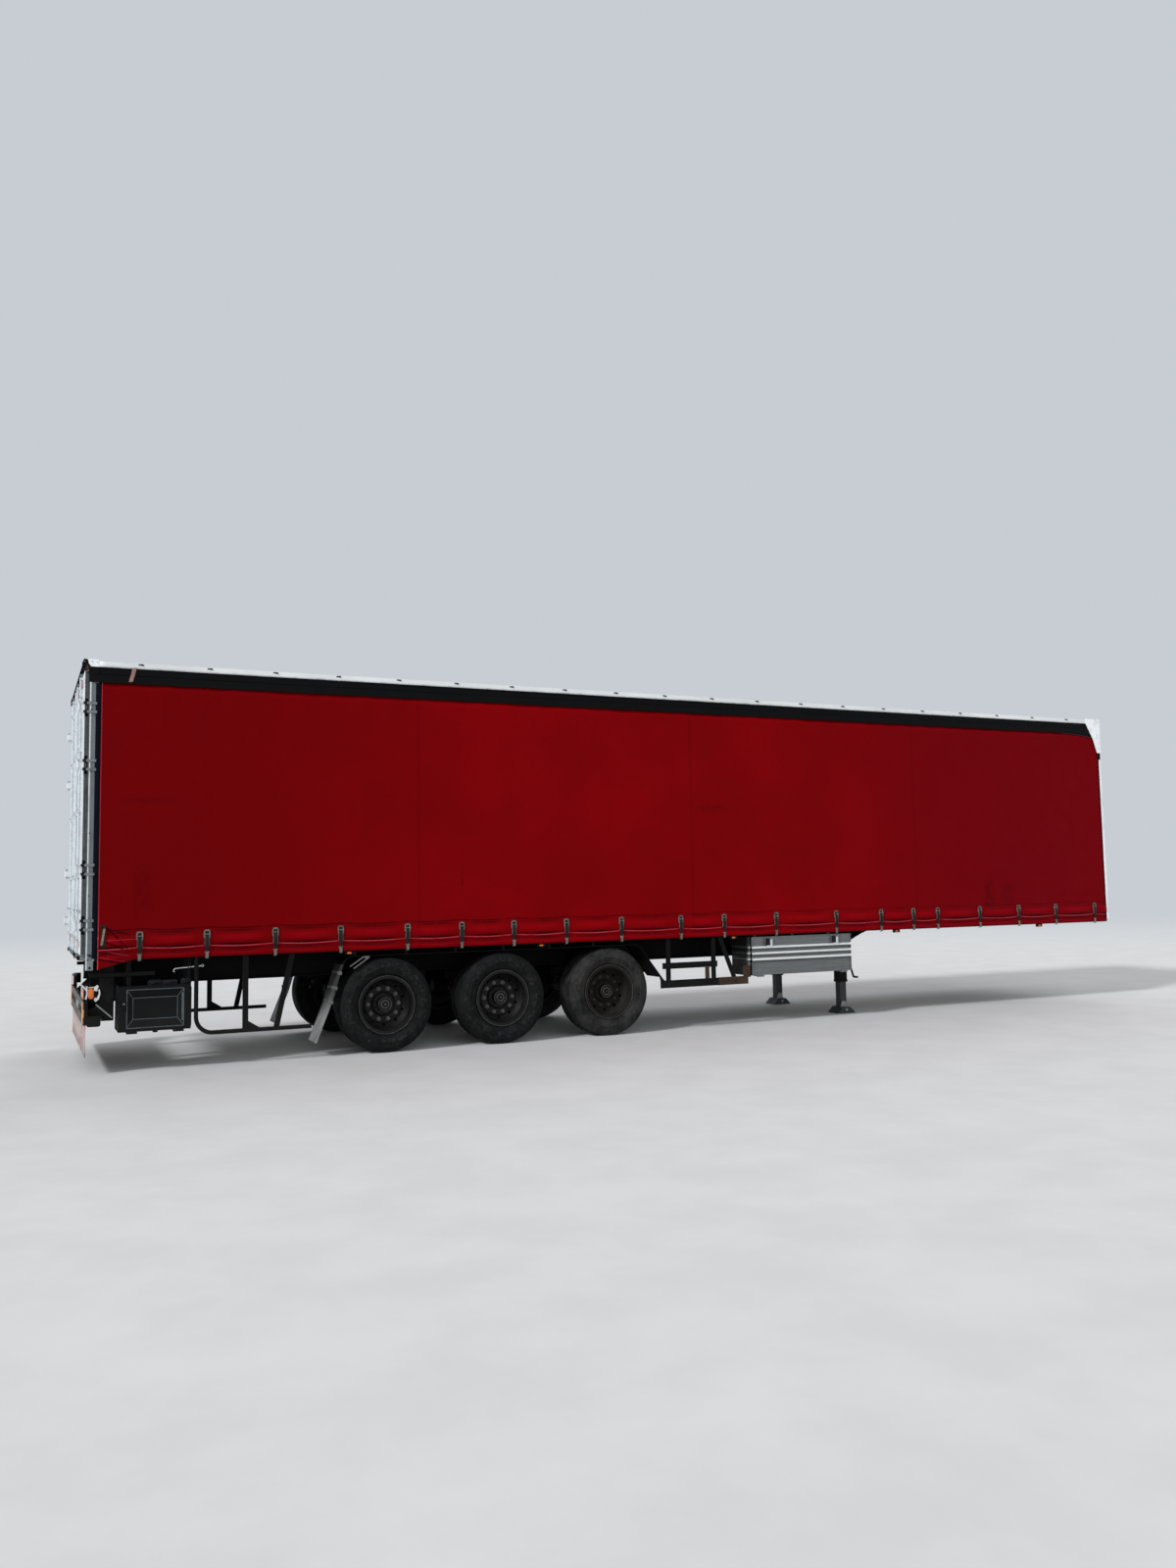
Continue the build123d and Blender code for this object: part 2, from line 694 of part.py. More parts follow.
# Mudguards over the wheels, hung from the cross-members; the flaps bolt on behind their rear ends
guard_start = axle_places[0] - 440
tail = Vector(at(guard_start - 44), mudguard_height - 142)
tail_way = (Vector(at(guard_start), mudguard_height) - tail).normalized()
tail_back = Vector(-tail_way.Y, tail_way.X)
guard_end = axle_places[2] + 380
guard_stays = [place for place in member_places if guard_start < place < guard_end - 100]
with BuildPart() as mudguards:
    with BuildSketch(Plane.XZ.offset(-mudguard_outer)):
        with BuildLine():
            FilletPolyline(tail, (at(guard_start), mudguard_height), (at(guard_end), mudguard_height),
                           (at(guard_end + 300), rack_low + rack_plank + 44), radius=110)
        trace(line_width=mudguard_sheet)
    extrude(amount=mudguard_outer - mudguard_inner)
    for place in guard_stays:
        with Locations(*[(at(place) + member_flange / 2, y, mudguard_height) for y in (960, 1190)]):
            Box(34, 24, member_bottom - mudguard_height, align=(Align.CENTER, Align.CENTER, Align.MIN))
    mirror(about=Plane.XZ)
save(mudguards.part, "mudguards")

# Mud flaps behind the rear wheels
with BuildPart() as mud_flaps:
    with BuildSketch(Plane.XZ.offset(-mudguard_outer + 10)):
        with BuildLine():
            seat = tail + tail_back * ((mudguard_sheet + flap_thickness) / 2 + fit_gap)
            FilletPolyline(seat + tail_way * 60, seat - tail_way * 370, (at(guard_start - 310), flap_foot),
                           radius=900)
        trace(line_width=flap_thickness)
    extrude(amount=mudguard_outer - mudguard_inner - 20)
    mirror(about=Plane.XZ)
save(mud_flaps.part, "mud_flaps")

# Axles: square beam, spindles, brake carriers and brake chambers
with BuildPart() as one_axle:
    with Locations((0, 0, tyre_radius)):
        Box(axle_square, 2 * (wheel_y - drum_in - 110), axle_square)
    for side in (-1, 1):
        # columns: inner and outer distance from the middle, radius
        for inner, outer, radius in ((wheel_y - drum_in - 120, wheel_y - drum_in - 30, 56),
                                     (wheel_y - drum_in - 40, wheel_y - drum_in - 8, 150),
                                     (wheel_y - drum_in - 10, spindle_reach, spindle_radius)):
            with BuildSketch(Plane.XZ.offset(side * inner)):
                with Locations((0, tyre_radius)):
                    Circle(radius)
            extrude(amount=side * (outer - inner))
        with BuildSketch(Plane.YZ.offset(-axle_square / 2)):
            with Locations((side * 380, tyre_radius + 50)):
                Circle(78)
        extrude(amount=-230)
with BuildPart() as axles:
    with Locations(*[(at(place), 0, 0) for place in axle_places]):
        add(one_axle.part)
save(axles.part, "axles")

# Hangers, each a channel with its pivot pin
with BuildPart() as one_hanger:
    with BuildSketch(Plane.XZ.offset(beam_y)):
        with BuildLine():
            Polyline((pivot_ahead - 110, beam_bottom), (pivot_ahead + 110, beam_bottom),
                     (pivot_ahead + 60, hanger_bottom), (pivot_ahead - 60, hanger_bottom), close=True)
        make_face()
    extrude(amount=arm_width / 2 + hanger_plate, both=True)
    with BuildSketch(Plane.XZ.offset(beam_y)):
        with Locations((pivot_ahead - 20, beam_bottom)):
            Rectangle(300, 2 * (beam_bottom - hanger_bottom) + 10)
        with Locations((pivot_ahead - 150, beam_bottom)):
            Rectangle(560, 24, mode=Mode.SUBTRACT)
        with Locations((pivot_ahead + 130, beam_bottom - 150)):
            Rectangle(90, 400, mode=Mode.SUBTRACT)
    extrude(amount=arm_width / 2, both=True, mode=Mode.SUBTRACT)
    with BuildSketch(Plane.XZ.offset(beam_y)):
        with Locations((pivot_ahead, pivot_height)):
            Circle(pin_radius)
    extrude(amount=arm_width / 2 + hanger_plate, both=True)
    mirror(about=Plane.XZ)
with BuildPart() as hangers:
    with Locations(*[(at(place), 0, 0) for place in axle_places]):
        add(one_hanger.part)
save(hangers.part, "hangers")

# Trailing arms from the pivots over the axle to the air springs
with BuildPart() as one_arm:
    with BuildSketch(Plane.XZ.offset(beam_y)):
        seat = tyre_radius + axle_square / 2
        with BuildLine():
            Polyline((pivot_ahead, pivot_height + 44), (120, seat + 74), (-120, seat + 74), (-170, arm_seat),
                     (-spring_behind - 110, arm_seat), (-spring_behind - 110, arm_seat - 30), (-120, seat),
                     (110, seat), (150, seat - 20), (pivot_ahead, pivot_height - 44), close=True)
        make_face()
        with Locations((pivot_ahead, pivot_height)):
            Circle(44)
            Circle(pin_radius + fit_gap, mode=Mode.SUBTRACT)
    extrude(amount=arm_width / 2 - fit_gap, both=True)
    mirror(about=Plane.XZ)
with BuildPart() as trailing_arms:
    with Locations(*[(at(place), 0, 0) for place in axle_places]):
        add(one_arm.part)
save(trailing_arms.part, "trailing_arms")

# Air springs: piston, rolled bellows and top plate
with BuildPart() as one_spring:
    with BuildSketch(Plane.XZ.offset(beam_y)):
        with BuildLine():
            start = Polyline((-spring_behind, beam_bottom), (-spring_behind + 105, beam_bottom),
                             (-spring_behind + 105, beam_bottom - 10),
                             (-spring_behind + 125, beam_bottom - 14))
            bulge = ThreePointArc(start @ 1, (-spring_behind + spring_radius, 735),
                                  (-spring_behind + 118, 684))
            Polyline(bulge @ 1, (-spring_behind + 84, 684), (-spring_behind + 92, arm_seat),
                     (-spring_behind, arm_seat), start @ 0)
        make_face()
    revolve(axis=Axis((-spring_behind, -beam_y, 0), (0, 0, 1)))
    mirror(about=Plane.XZ)
with BuildPart() as air_springs:
    with Locations(*[(at(place), 0, 0) for place in axle_places]):
        add(one_spring.part)
save(air_springs.part, "air_springs")


def tyre(side, place):
    """Hollow tyre without its tread pattern."""
    half = tyre_width / 2
    bead_half = rim_half - 3.5
    with BuildPart() as body:
        with BuildSketch(Plane.XY):
            with BuildLine():
                low = Polyline((-118, bead_radius), (-bead_half, bead_radius), (-bead_half, rim_lip + 3))
                left = ThreePointArc(low @ 1, (-half, 400), (-tread_width / 2 - 12, tyre_radius - 26))
                crown = Polyline(left @ 1, (-tread_width / 2, tyre_radius - 6), (-60, tyre_radius),
                                 (60, tyre_radius),
                                 (tread_width / 2, tyre_radius - 6), (tread_width / 2 + 12, tyre_radius - 26))
                right = ThreePointArc(crown @ 1, (half, 400), (bead_half, rim_lip + 3))
                Polyline(right @ 1, (bead_half, bead_radius), (118, bead_radius), (half - tyre_wall, 392),
                         (tread_width / 2 - 14, tyre_radius - 40), (14 - tread_width / 2, tyre_radius - 40),
                         (tyre_wall - half, 392), low @ 0)
            make_face()
        revolve(axis=Axis.X)
    return body.part.rotate(Axis.Z, 90 * side).moved(Location((at(place), side * wheel_y, tyre_radius)))


def rim(side, place):
    """Rim with its disc, hub, cap, nuts and brake drum; local X points out of the wheel."""
    seat = bead_radius - fit_gap
    with BuildPart() as body:
        with BuildSketch(Plane.XY):
            with BuildLine():
                # columns: distance out from the wheel's middle plane, radius
                Polyline((-rim_half - 12, rim_lip), (-rim_half - 12, seat - 12), (-rim_half + 20, seat - 14),
                         (-70, 250), (-20, 248), (disc_out - 12, 240), (disc_out - 46, 190),
                         (disc_out - 46, 206),
                         (-drum_out, drum_radius), (-drum_in, drum_radius),
                         (-drum_in, spindle_radius + fit_gap),
                         (8, spindle_radius + fit_gap), (8, 0), (hub_cap_out, 0),
                         (hub_cap_out, hub_cap_radius - 14),
                         (hub_cap_out - 12, hub_cap_radius), (disc_out - 12, hub_cap_radius + 6),
                         (disc_out - 12, 116), (disc_out - 34, 132), (disc_out - 34, 192), (disc_out, 232),
                         (rim_half - 60, 262), (rim_half - 20, seat - 16), (rim_half + 12, seat - 12),
                         (rim_half + 12, rim_lip), (rim_half + 2, rim_lip), (rim_half - 3, seat),
                         (rim_half - 50, seat - 4),
                         (rim_half - 80, 262), (-60, 262), (50 - rim_half, seat - 4), (3 - rim_half, seat),
                         (-rim_half - 2, rim_lip), close=True)
            make_face()
        revolve(axis=Axis.X)
        with BuildSketch(Plane.YZ.offset(disc_out - 34)):
            with PolarLocations(nut_circle, nut_count):
                RegularPolygon(nut_size, 6)
        extrude(amount=26)
        with BuildSketch(Plane.YZ.offset(disc_out - 46)):
            with PolarLocations(hand_hole_circle, nut_count, start_angle=180 / nut_count):
                Circle(hand_hole)
        extrude(amount=60, mode=Mode.SUBTRACT)
    return body.part.rotate(Axis.Z, 90 * side).moved(Location((at(place), side * wheel_y, tyre_radius)))


for number, place in enumerate(axle_places, start=1):
    for side, name in ((1, "left"), (-1, "right")):
        save(tyre(side, place), f"tyre_{number}_{name}")
        save(rim(side, place), f"rim_{number}_{name}")

# Landing leg housings with the gearbox, crank and cross shaft
leg_out = leg_y + leg_size / 2
with BuildPart() as leg_housings:
    for side in (-1, 1):
        with Locations((at(leg_place), side * leg_y, leg_housing_bottom)):
            Box(leg_size, leg_size, member_bottom - leg_housing_bottom,
                align=(Align.CENTER, Align.CENTER, Align.MIN))
        with Locations((at(leg_place), side * (leg_y - leg_size / 2), member_bottom)):
            Box(280, leg_bracket, 260, align=(Align.CENTER, Align.MAX if side > 0 else Align.MIN, Align.MAX))
        with Locations((at(leg_place), side * leg_y, leg_housing_bottom)):
            Box(leg_inner_size + 2 * fit_gap, leg_inner_size + 2 * fit_gap, 300,
                align=(Align.CENTER, Align.CENTER, Align.MIN), mode=Mode.SUBTRACT)
    with BuildSketch(Plane.XZ.offset(leg_size / 2 - leg_y)):
        with Locations((at(leg_place), shaft_height)):
            Circle(17)
    extrude(amount=2 * (leg_y - leg_size / 2))
    with Locations((at(leg_place), -leg_out, shaft_height)):
        Box(110, gearbox_width, 150, align=(Align.CENTER, Align.MAX, Align.CENTER))
    with BuildSketch(Plane.XZ.offset(leg_out + gearbox_width)):
        with Locations((at(leg_place), shaft_height)):
            Circle(11)
    extrude(amount=40)
    with BuildSketch(Plane.XZ.offset(leg_out + gearbox_width + 16)):
        with BuildLine():
            Polyline((at(leg_place - 10), shaft_height + 12), (at(leg_place + 12), shaft_height + 12),
                     (at(leg_place + 108), shaft_height - crank_length),
                     (at(leg_place + 86), shaft_height - crank_length - 8),
                     close=True)
        make_face()
    extrude(amount=12)
save(leg_housings.part, "leg_housings")

# Extended inner legs on their rocking shoes
with BuildPart() as leg_feet:
    for side in (-1, 1):
        with Locations((at(leg_place), side * leg_y, 40)):
            Box(leg_inner_size, leg_inner_size, leg_housing_bottom + 260,
                align=(Align.CENTER, Align.CENTER, Align.MIN))
        with BuildSketch(Plane.XZ.offset(side * leg_y)):
            with BuildLine():
                Polyline((at(leg_place) - shoe_length / 2, 0), (at(leg_place) + shoe_length / 2, 0),
                         (at(leg_place) + shoe_length / 2, 12), (at(leg_place) + 60, 80),
                         (at(leg_place) - 60, 80),
                         (at(leg_place) - shoe_length / 2, 12), close=True)
            make_face()
        extrude(amount=shoe_width / 2, both=True)
save(leg_feet.part, "leg_feet")

# Air tanks hung between the beams
tank_places = (member_places[11], member_places[13])
with BuildPart() as air_tanks:
    for side in (-1, 1):
        with BuildSketch(Plane.YZ.offset(at(tank_places[0] - 60))):
            with Locations((side * 250, 945)):
                Circle(123)
        extrude(amount=tank_places[1] - tank_places[0] + 170)
        for place in tank_places:
            with Locations((at(place) + member_flange / 2, side * 250, member_bottom)):
                Box(40, 120, 120, align=(Align.CENTER, Align.CENTER, Align.MAX))
save(air_tanks.part, "air_tanks")


def side_box(rear, front, bottom, top, inner, wall):
    """Open-fronted box on the right side, with straps up to the cross-members."""
    with BuildPart() as body:
        with Locations((at((rear + front) / 2), -(inner + box_face) / 2, (bottom + top) / 2)):
            Box(front - rear, box_face - inner, top - bottom)
        with Locations((at((rear + front) / 2), -(inner + wall), (bottom + top) / 2)):
            Box(front - rear - 2 * wall, box_face - inner, top - bottom - 2 * wall,
                align=(Align.CENTER, Align.MAX, Align.CENTER), mode=Mode.SUBTRACT)
        straps = [place for place in member_places if rear < place + member_flange / 2 < front]
        for place in straps:
            with Locations(*[(at(place) + member_flange / 2, -y, top) for y in (inner + 60, box_face - 60)]):
                Box(36, 40, member_bottom - top, align=(Align.CENTER, Align.CENTER, Align.MIN))
        axis_z = bottom - lid_knuckle
        for place in (rear + 120, front - 120):
            with Locations((at(place), -lid_axis_y, axis_z)):
                Cylinder(lid_pin, 100, rotation=(0, 90, 0))
            with Locations(*[(at(place + shift), -lid_axis_y, axis_z) for shift in (-40, 40)]):
                Cylinder(lid_knuckle, 20, rotation=(0, 90, 0))
                Box(20, lid_axis_y - box_face + 60, lid_knuckle, align=(Align.CENTER, Align.MIN, Align.MIN))
    return body.part


def lid_knuckles(rear, front, bottom):
    """Moving hinge knuckles of a drop-down front, as a separate solid to add to it."""
    axis_z = bottom - lid_knuckle
    with BuildPart() as knuckles:
        for place in (rear + 120, front - 120):
            with Locations((at(place), -lid_axis_y, axis_z)):
                Cylinder(lid_knuckle, 60 - 2 * fit_gap, rotation=(0, 90, 0))
                Box(60 - 2 * fit_gap, 20, lid_knuckle + clear + 20,
                    align=(Align.CENTER, Align.MIN, Align.MIN))
                Cylinder(lid_pin + fit_gap, 60, rotation=(0, 90, 0), mode=Mode.SUBTRACT)
    return knuckles.part


# Toolbox with its stepped drop-down lid
save(side_box(toolbox_rear, toolbox_front, toolbox_bottom, toolbox_top, toolbox_inner, 6), "toolbox")
with BuildPart() as toolbox_lid:
    lid_low = toolbox_bottom + clear
    with BuildSketch(Plane.XZ.offset(lid_back)):
        with Locations((at((toolbox_rear + toolbox_front) / 2), (lid_low + toolbox_top) / 2)):
            RectangleRounded(toolbox_front - toolbox_rear, toolbox_top - lid_low, 40)
    extrude(amount=lid_thickness)
    # columns: depth below the face, margin along the length, margin in height
    for depth, side_margin, end_margin in ((0, 75, 38), (lid_recess, 130, 116)):
        with BuildSketch(Plane.XZ.offset(lid_back + lid_thickness - depth)):
            with Locations((at((toolbox_rear + toolbox_front) / 2), (lid_low + toolbox_top) / 2)):
                Rectangle(toolbox_front - toolbox_rear - 2 * side_margin,
                          toolbox_top - lid_low - 2 * end_margin)
    loft(mode=Mode.SUBTRACT)
    with Locations((at(toolbox_rear + 46), -lid_back - lid_thickness,
                    (toolbox_bottom + toolbox_top) / 2 + 40)):
        Box(40, 18, 90, align=(Align.CENTER, Align.CENTER, Align.CENTER))
    add(lid_knuckles(toolbox_rear, toolbox_front, toolbox_bottom))
save(toolbox_lid.part, "toolbox_lid")

# Locker with its ribbed drop-down door
save(side_box(locker_rear, locker_front, locker_bottom, locker_top, locker_inner, 5), "locker")
with BuildPart() as locker_door:
    door_low = locker_bottom + clear
    with BuildSketch(Plane.YZ.offset(at(locker_rear))):
        with BuildLine():
            Polyline((-lid_back, door_low), (-lid_back, locker_top), (-door_face, locker_top),
                     (-door_face, door_low), close=True)
        make_face()
        for rib_top in door_rib_tops:
            with BuildLine():
                Polyline((-door_face, rib_top), (-door_face - door_rib, rib_top - 8),
                         (-door_face - door_rib, rib_top - 38),
                         (-door_face, rib_top - 48), close=True)
            make_face()
    extrude(amount=locker_front - locker_rear)
    latch_height = (door_rib_tops[0] + locker_top) / 2 - 10
    for place in (locker_rear + 250, locker_rear + 1240):
        with Locations((at(place), -door_face, latch_height)):
            Box(90, door_rib, 110, align=(Align.CENTER, Align.MAX, Align.CENTER))
    add(lid_knuckles(locker_rear, locker_front, locker_bottom))
save(locker_door.part, "locker_door")


def guard_upright(foot, head, low):
    """Upright from a guard rail at its foot to the rave at its head."""
    with BuildPart() as upright:
        with BuildSketch(Plane.XZ.offset(guard_y)):
            with BuildLine():
                Polyline((at(foot) - upright_half, low), (at(foot) + upright_half, low),
                         (at(head) + upright_half, rave_bottom),
                         (at(head) - upright_half, rave_bottom), close=True)
            make_face()
        extrude(amount=-upright_depth)
    return upright.part


# Side guards: a bent tube behind the rear mud flaps and a rail rack ahead of the wheels
tube_y = -guard_y + upright_depth / 2
with BuildPart() as rear_guard:
    with BuildLine():
        route = FilletPolyline((at(guard_rear), tube_y, rave_bottom), (at(guard_rear), tube_y, guard_low),
                               (at(guard_front), tube_y, guard_low), radius=guard_bend)
    with BuildSketch(Plane(origin=route @ 0, z_dir=route % 0)):
        Circle(guard_tube)
    sweep()
    add(guard_upright(guard_rear + 475, guard_rear + 475, guard_low))
    add(guard_upright(guard_rear + 780, guard_rear + 940, guard_low))
    with BuildSketch(Plane.XZ.offset(guard_y)):
        with BuildLine():
            Polyline((at(guard_rear + 475), guard_low), (at(guard_rear + 650), guard_low),
                     (at(guard_rear + 475), guard_low + 110), close=True)
        make_face()
    extrude(amount=-upright_depth)
with BuildPart() as front_guard:
    # columns: rear and front end, bottom and top of each rail
    for rail_rear, rail_front, rail_low, rail_high in ((rack_rear, rack_rear + 740, rack_high,
                                                        rack_high + 70),
                                                       (rack_rear - 30, rack_front, rack_low,
                                                        rack_low + rack_plank)):
        with Locations((at(rail_rear), -guard_y, rail_low)):
            Box(rail_front - rail_rear, rack_plate, rail_high - rail_low,
                align=(Align.MIN, Align.MIN, Align.MIN))
    # columns: foot and head of each upright
    for foot, head in ((rack_rear + 70, rack_rear + 70), (rack_rear + 690, rack_rear + 690),
                       (rack_rear + 1010, rack_rear + 780)):
        add(guard_upright(foot, head, rack_low))
with BuildPart() as side_guards:
    add(rear_guard.part)
    add(front_guard.part)
    mirror(about=Plane.XZ)
save(side_guards.part, "side_guards")
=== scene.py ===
import bmesh
import bpy
import math
from mathutils import Matrix, Vector, noise


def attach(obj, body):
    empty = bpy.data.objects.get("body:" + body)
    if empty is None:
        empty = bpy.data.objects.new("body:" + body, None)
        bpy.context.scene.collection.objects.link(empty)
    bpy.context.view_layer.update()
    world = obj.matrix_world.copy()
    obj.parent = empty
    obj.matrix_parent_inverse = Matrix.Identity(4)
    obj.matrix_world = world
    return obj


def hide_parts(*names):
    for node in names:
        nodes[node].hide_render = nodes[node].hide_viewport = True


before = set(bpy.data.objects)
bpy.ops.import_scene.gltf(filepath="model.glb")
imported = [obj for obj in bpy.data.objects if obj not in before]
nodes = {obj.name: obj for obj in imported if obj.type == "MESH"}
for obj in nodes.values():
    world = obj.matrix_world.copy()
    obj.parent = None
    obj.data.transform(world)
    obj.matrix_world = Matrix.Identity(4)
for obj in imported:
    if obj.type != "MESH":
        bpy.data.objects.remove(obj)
scene = bpy.context.scene
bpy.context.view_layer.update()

# A point is given as place, out and height in metres: forward from the doors' outer face,
# out from the middle plane, and up from the ground. REAR is where place 0 lies along X.
REAR = -6.7645
SIDES = (-1, 1)
NAMED_SIDES = (("left", 1), ("right", -1))
OUT, IN, FRONT, BACK, UP = (0, 1, 0), (0, -1, 0), (1, 0, 0), (-1, 0, 0), (0, 0, 1)
AXLES = (3.0, 4.31, 5.62)
WHEELS = [(number, name, side) for number in (1, 2, 3) for name, side in NAMED_SIDES]
WHEEL_Y = 1.0705
TYRE_R = 0.498
BUCKLES = (0.53, 1.16, 1.83, 2.5, 3.22, 3.83, 4.44, 5.08, 5.78, 6.57,
           7.17, 7.92, 8.83, 9.54, 10.07, 10.48, 11.21, 11.91, 12.6, 13.35)
BOWS = tuple(0.51 + 0.656 * i for i in range(20))
CURTAIN_START, CURTAIN_END = 0.15, 13.58
CURTAIN_Y = 1.2527
CURTAIN_FACE = 1.2547
POCKET_TOP = 1.42
ROOF_HALF = 1.268
ROOF_START, ROOF_END = 0.122, 13.46
TOP = 3.9925
HEM = 1.08
DOOR_HEIGHTS = (1.1425, 3.8775)
HINGES = (1.42, 1.95, 2.96, 3.52)
RODS = (0.19, 0.82)
WALL_FRONT = 13.59
LEG, LEG_Y = 9.26, 0.732
# Creases at the right curtain's rear corner, painted dark as shade along them, and glints beside them, painted
# highlights: from a place and height to another
CREASES = (((0.232, 1.384), (0.331, 1.289)), ((0.331, 1.289), (0.419, 1.187)), ((0.222, 1.251), (0.382, 1.179)),
           ((0.157, 1.097), (0.286, 1.058)), ((0.286, 1.058), (0.433, 1.042)), ((0.235, 1.149), (0.433, 1.101)))
GLINTS = (((0.215, 1.266), (0.5, 1.274)), ((0.24, 1.16), (0.43, 1.112)), ((0.165, 1.108), (0.43, 1.054)))


def at(place):
    return REAR + place


def turns(count):
    return [2 * math.pi * k / count for k in range(count)]


# Camera of the photograph
SENSOR = 36
FOCAL_SHARE = 1230.1 / 1600
yaw, pitch, roll = math.radians(25.48), math.radians(4.8), math.radians(-0.99)
forward = Vector((math.sin(yaw) * math.cos(pitch), math.cos(yaw) * math.cos(pitch), math.sin(pitch)))
right = Vector((math.cos(yaw), -math.sin(yaw), 0))
up = right.cross(forward)
right, up = math.cos(roll) * right + math.sin(roll) * up, math.cos(roll) * up - math.sin(roll) * right
camera_data = bpy.data.cameras.new("camera")
camera_data.sensor_width = SENSOR
camera_data.lens = FOCAL_SHARE * SENSOR
camera_data.clip_end = 500
camera = bpy.data.objects.new("camera", camera_data)
turned = Matrix((right, up, -forward)).transposed().to_4x4()
camera.matrix_world = Matrix.Translation((at(-0.587), -13.781, 1.719)) @ turned
scene.collection.objects.link(camera)
scene.camera = camera


# Materials
def lin(red, green, blue):
    """Written colour, 0 to 255, as Blender's linear colour."""
    return tuple(v / 12.92 if v <= 0.04045 else ((v + 0.055) / 1.055) ** 2.4
                 for v in (red / 255, green / 255, blue / 255))


def shade(colour, by):
    return tuple(min(1.0, v * by) for v in colour)


LOOKS = {}


class Mat:
    """A material's node tree with short helpers. What they take is a number, a colour or a socket."""

    def __init__(self, name, metal=0.0, spec=0.5, coat=0.0):
        self.material = LOOKS[name] = bpy.data.materials.new(name)
        self.material.use_nodes = True
        self.tree = self.material.node_tree
        self.shader = self.tree.nodes["Principled BSDF"]
        for socket, value in (("Metallic", metal), ("Specular IOR Level", spec), ("Coat Weight", coat)):
            self.shader.inputs[socket].default_value = value
        self.place = self.node("ShaderNodeTexCoord").outputs["Object"]

    def node(self, kind, inputs=None, **props):
        made = self.tree.nodes.new(kind)
        for key, value in props.items():
            setattr(made, key, value)
        for key, value in (inputs or {}).items():
            self.set(made.inputs[key], value)
        return made

    def set(self, socket, value):
        if isinstance(value, bpy.types.NodeSocket):
            self.tree.links.new(value, socket)
        elif hasattr(value, "__len__") and len(value) == 3 and socket.type == "RGBA":
            socket.default_value = (*value, 1)
        else:
            socket.default_value = value

    def stretch(self, scale):
        return self.node("ShaderNodeMapping", {"Vector": self.place, "Scale": scale}).outputs["Vector"]

    def noise(self, scale, detail=5.0, rough=0.6, stretch=None, twist=0.0):
        inputs = {"Vector": self.stretch(stretch) if stretch else self.place, "Scale": scale, "Detail": detail,
                  "Roughness": rough, "Distortion": twist}
        return self.node("ShaderNodeTexNoise", inputs).outputs["Fac"]

    def span(self, value, low, high, to_low=0.0, to_high=1.0):
        """Smooth step of a value from low to high."""
        inputs = {"From Min": low, "From Max": high, "To Min": to_low, "To Max": to_high, "Value": value}
        return self.node("ShaderNodeMapRange", inputs, interpolation_type="SMOOTHSTEP").outputs["Result"]

    def patch(self, low, high, *form, onto=(0.0, 1.0)):
        """Smooth step over a noise of this form."""
        return self.span(self.noise(*form), low, high, *onto)

    def math(self, operation, a, b=0.0):
        return self.node("ShaderNodeMath", {0: a, 1: b}, operation=operation).outputs[0]

    def plus(self, a, b):
        return self.math("ADD", a, b)

    def times(self, first, *others):
        for other in others:
            first = self.math("MULTIPLY", first, other)
        return first

    def most(self, first, *others):
        for other in others:
            first = self.math("MAXIMUM", first, other)
        return first

    def mix(self, share, a, b):
        return self.node("ShaderNodeMix", {"Factor": share, 6: a, 7: b}, data_type="RGBA").outputs[2]

    def tint(self, colour, tone, *shares):
        """A colour with a tone laid over it, as far as the product of the shares."""
        return self.mix(self.times(*shares), colour, tone)

    def axis(self, letter):
        return self.node("ShaderNodeSeparateXYZ", {0: self.place}).outputs[letter]

    def away(self, value, middle=0.0):
        return self.math("ABSOLUTE", self.math("SUBTRACT", value, middle) if middle else value)

    def near(self, letter, middle, half, soft):
        """1 within half of a place along an axis, falling to 0 over soft."""
        return self.span(self.away(self.axis(letter), middle), half + soft, half)

    def weave(self, rate, *letters):
        """Sum of fine waves along two axes."""
        return self.plus(*(self.math("SINE", self.times(self.axis(letter), rate)) for letter in letters))

    def vector(self, operation, a, b, result=0):
        return self.node("ShaderNodeVectorMath", {0: a, 1: b}, operation=operation).outputs[result]

    def stroke(self, start, end, half, soft):
        """1 along a line between two places on the side, falling to 0 over soft."""
        way = Vector((end[0] - start[0], 0, end[1] - start[1]))
        offset = self.vector("SUBTRACT", self.stretch((1, 0, 1)), (at(start[0]), 0, start[1]))
        along = self.vector("DOT_PRODUCT", offset, way.normalized(), "Value")
        along = self.math("MINIMUM", self.math("MAXIMUM", along, 0.0), way.length)
        foot = self.node("ShaderNodeVectorMath", {0: way.normalized(), "Scale": along}, operation="SCALE")
        gap = self.vector("SUBTRACT", offset, foot.outputs[0])
        length = self.node("ShaderNodeVectorMath", {0: gap}, operation="LENGTH")
        return self.span(length.outputs["Value"], half + soft, half)

    def finish(self, colour, rough, height, strength, distance):
        bump = {"Strength": strength, "Distance": distance, "Height": height}
        self.set(self.shader.inputs["Base Color"], colour)
        self.set(self.shader.inputs["Roughness"], rough)
        self.set(self.shader.inputs["Normal"], self.node("ShaderNodeBump", bump).outputs["Normal"])


DUST = lin(84, 80, 74)
GRIME = lin(21, 19, 18)
RUST = lin(104, 56, 30)
RUST_DARK = lin(58, 32, 20)


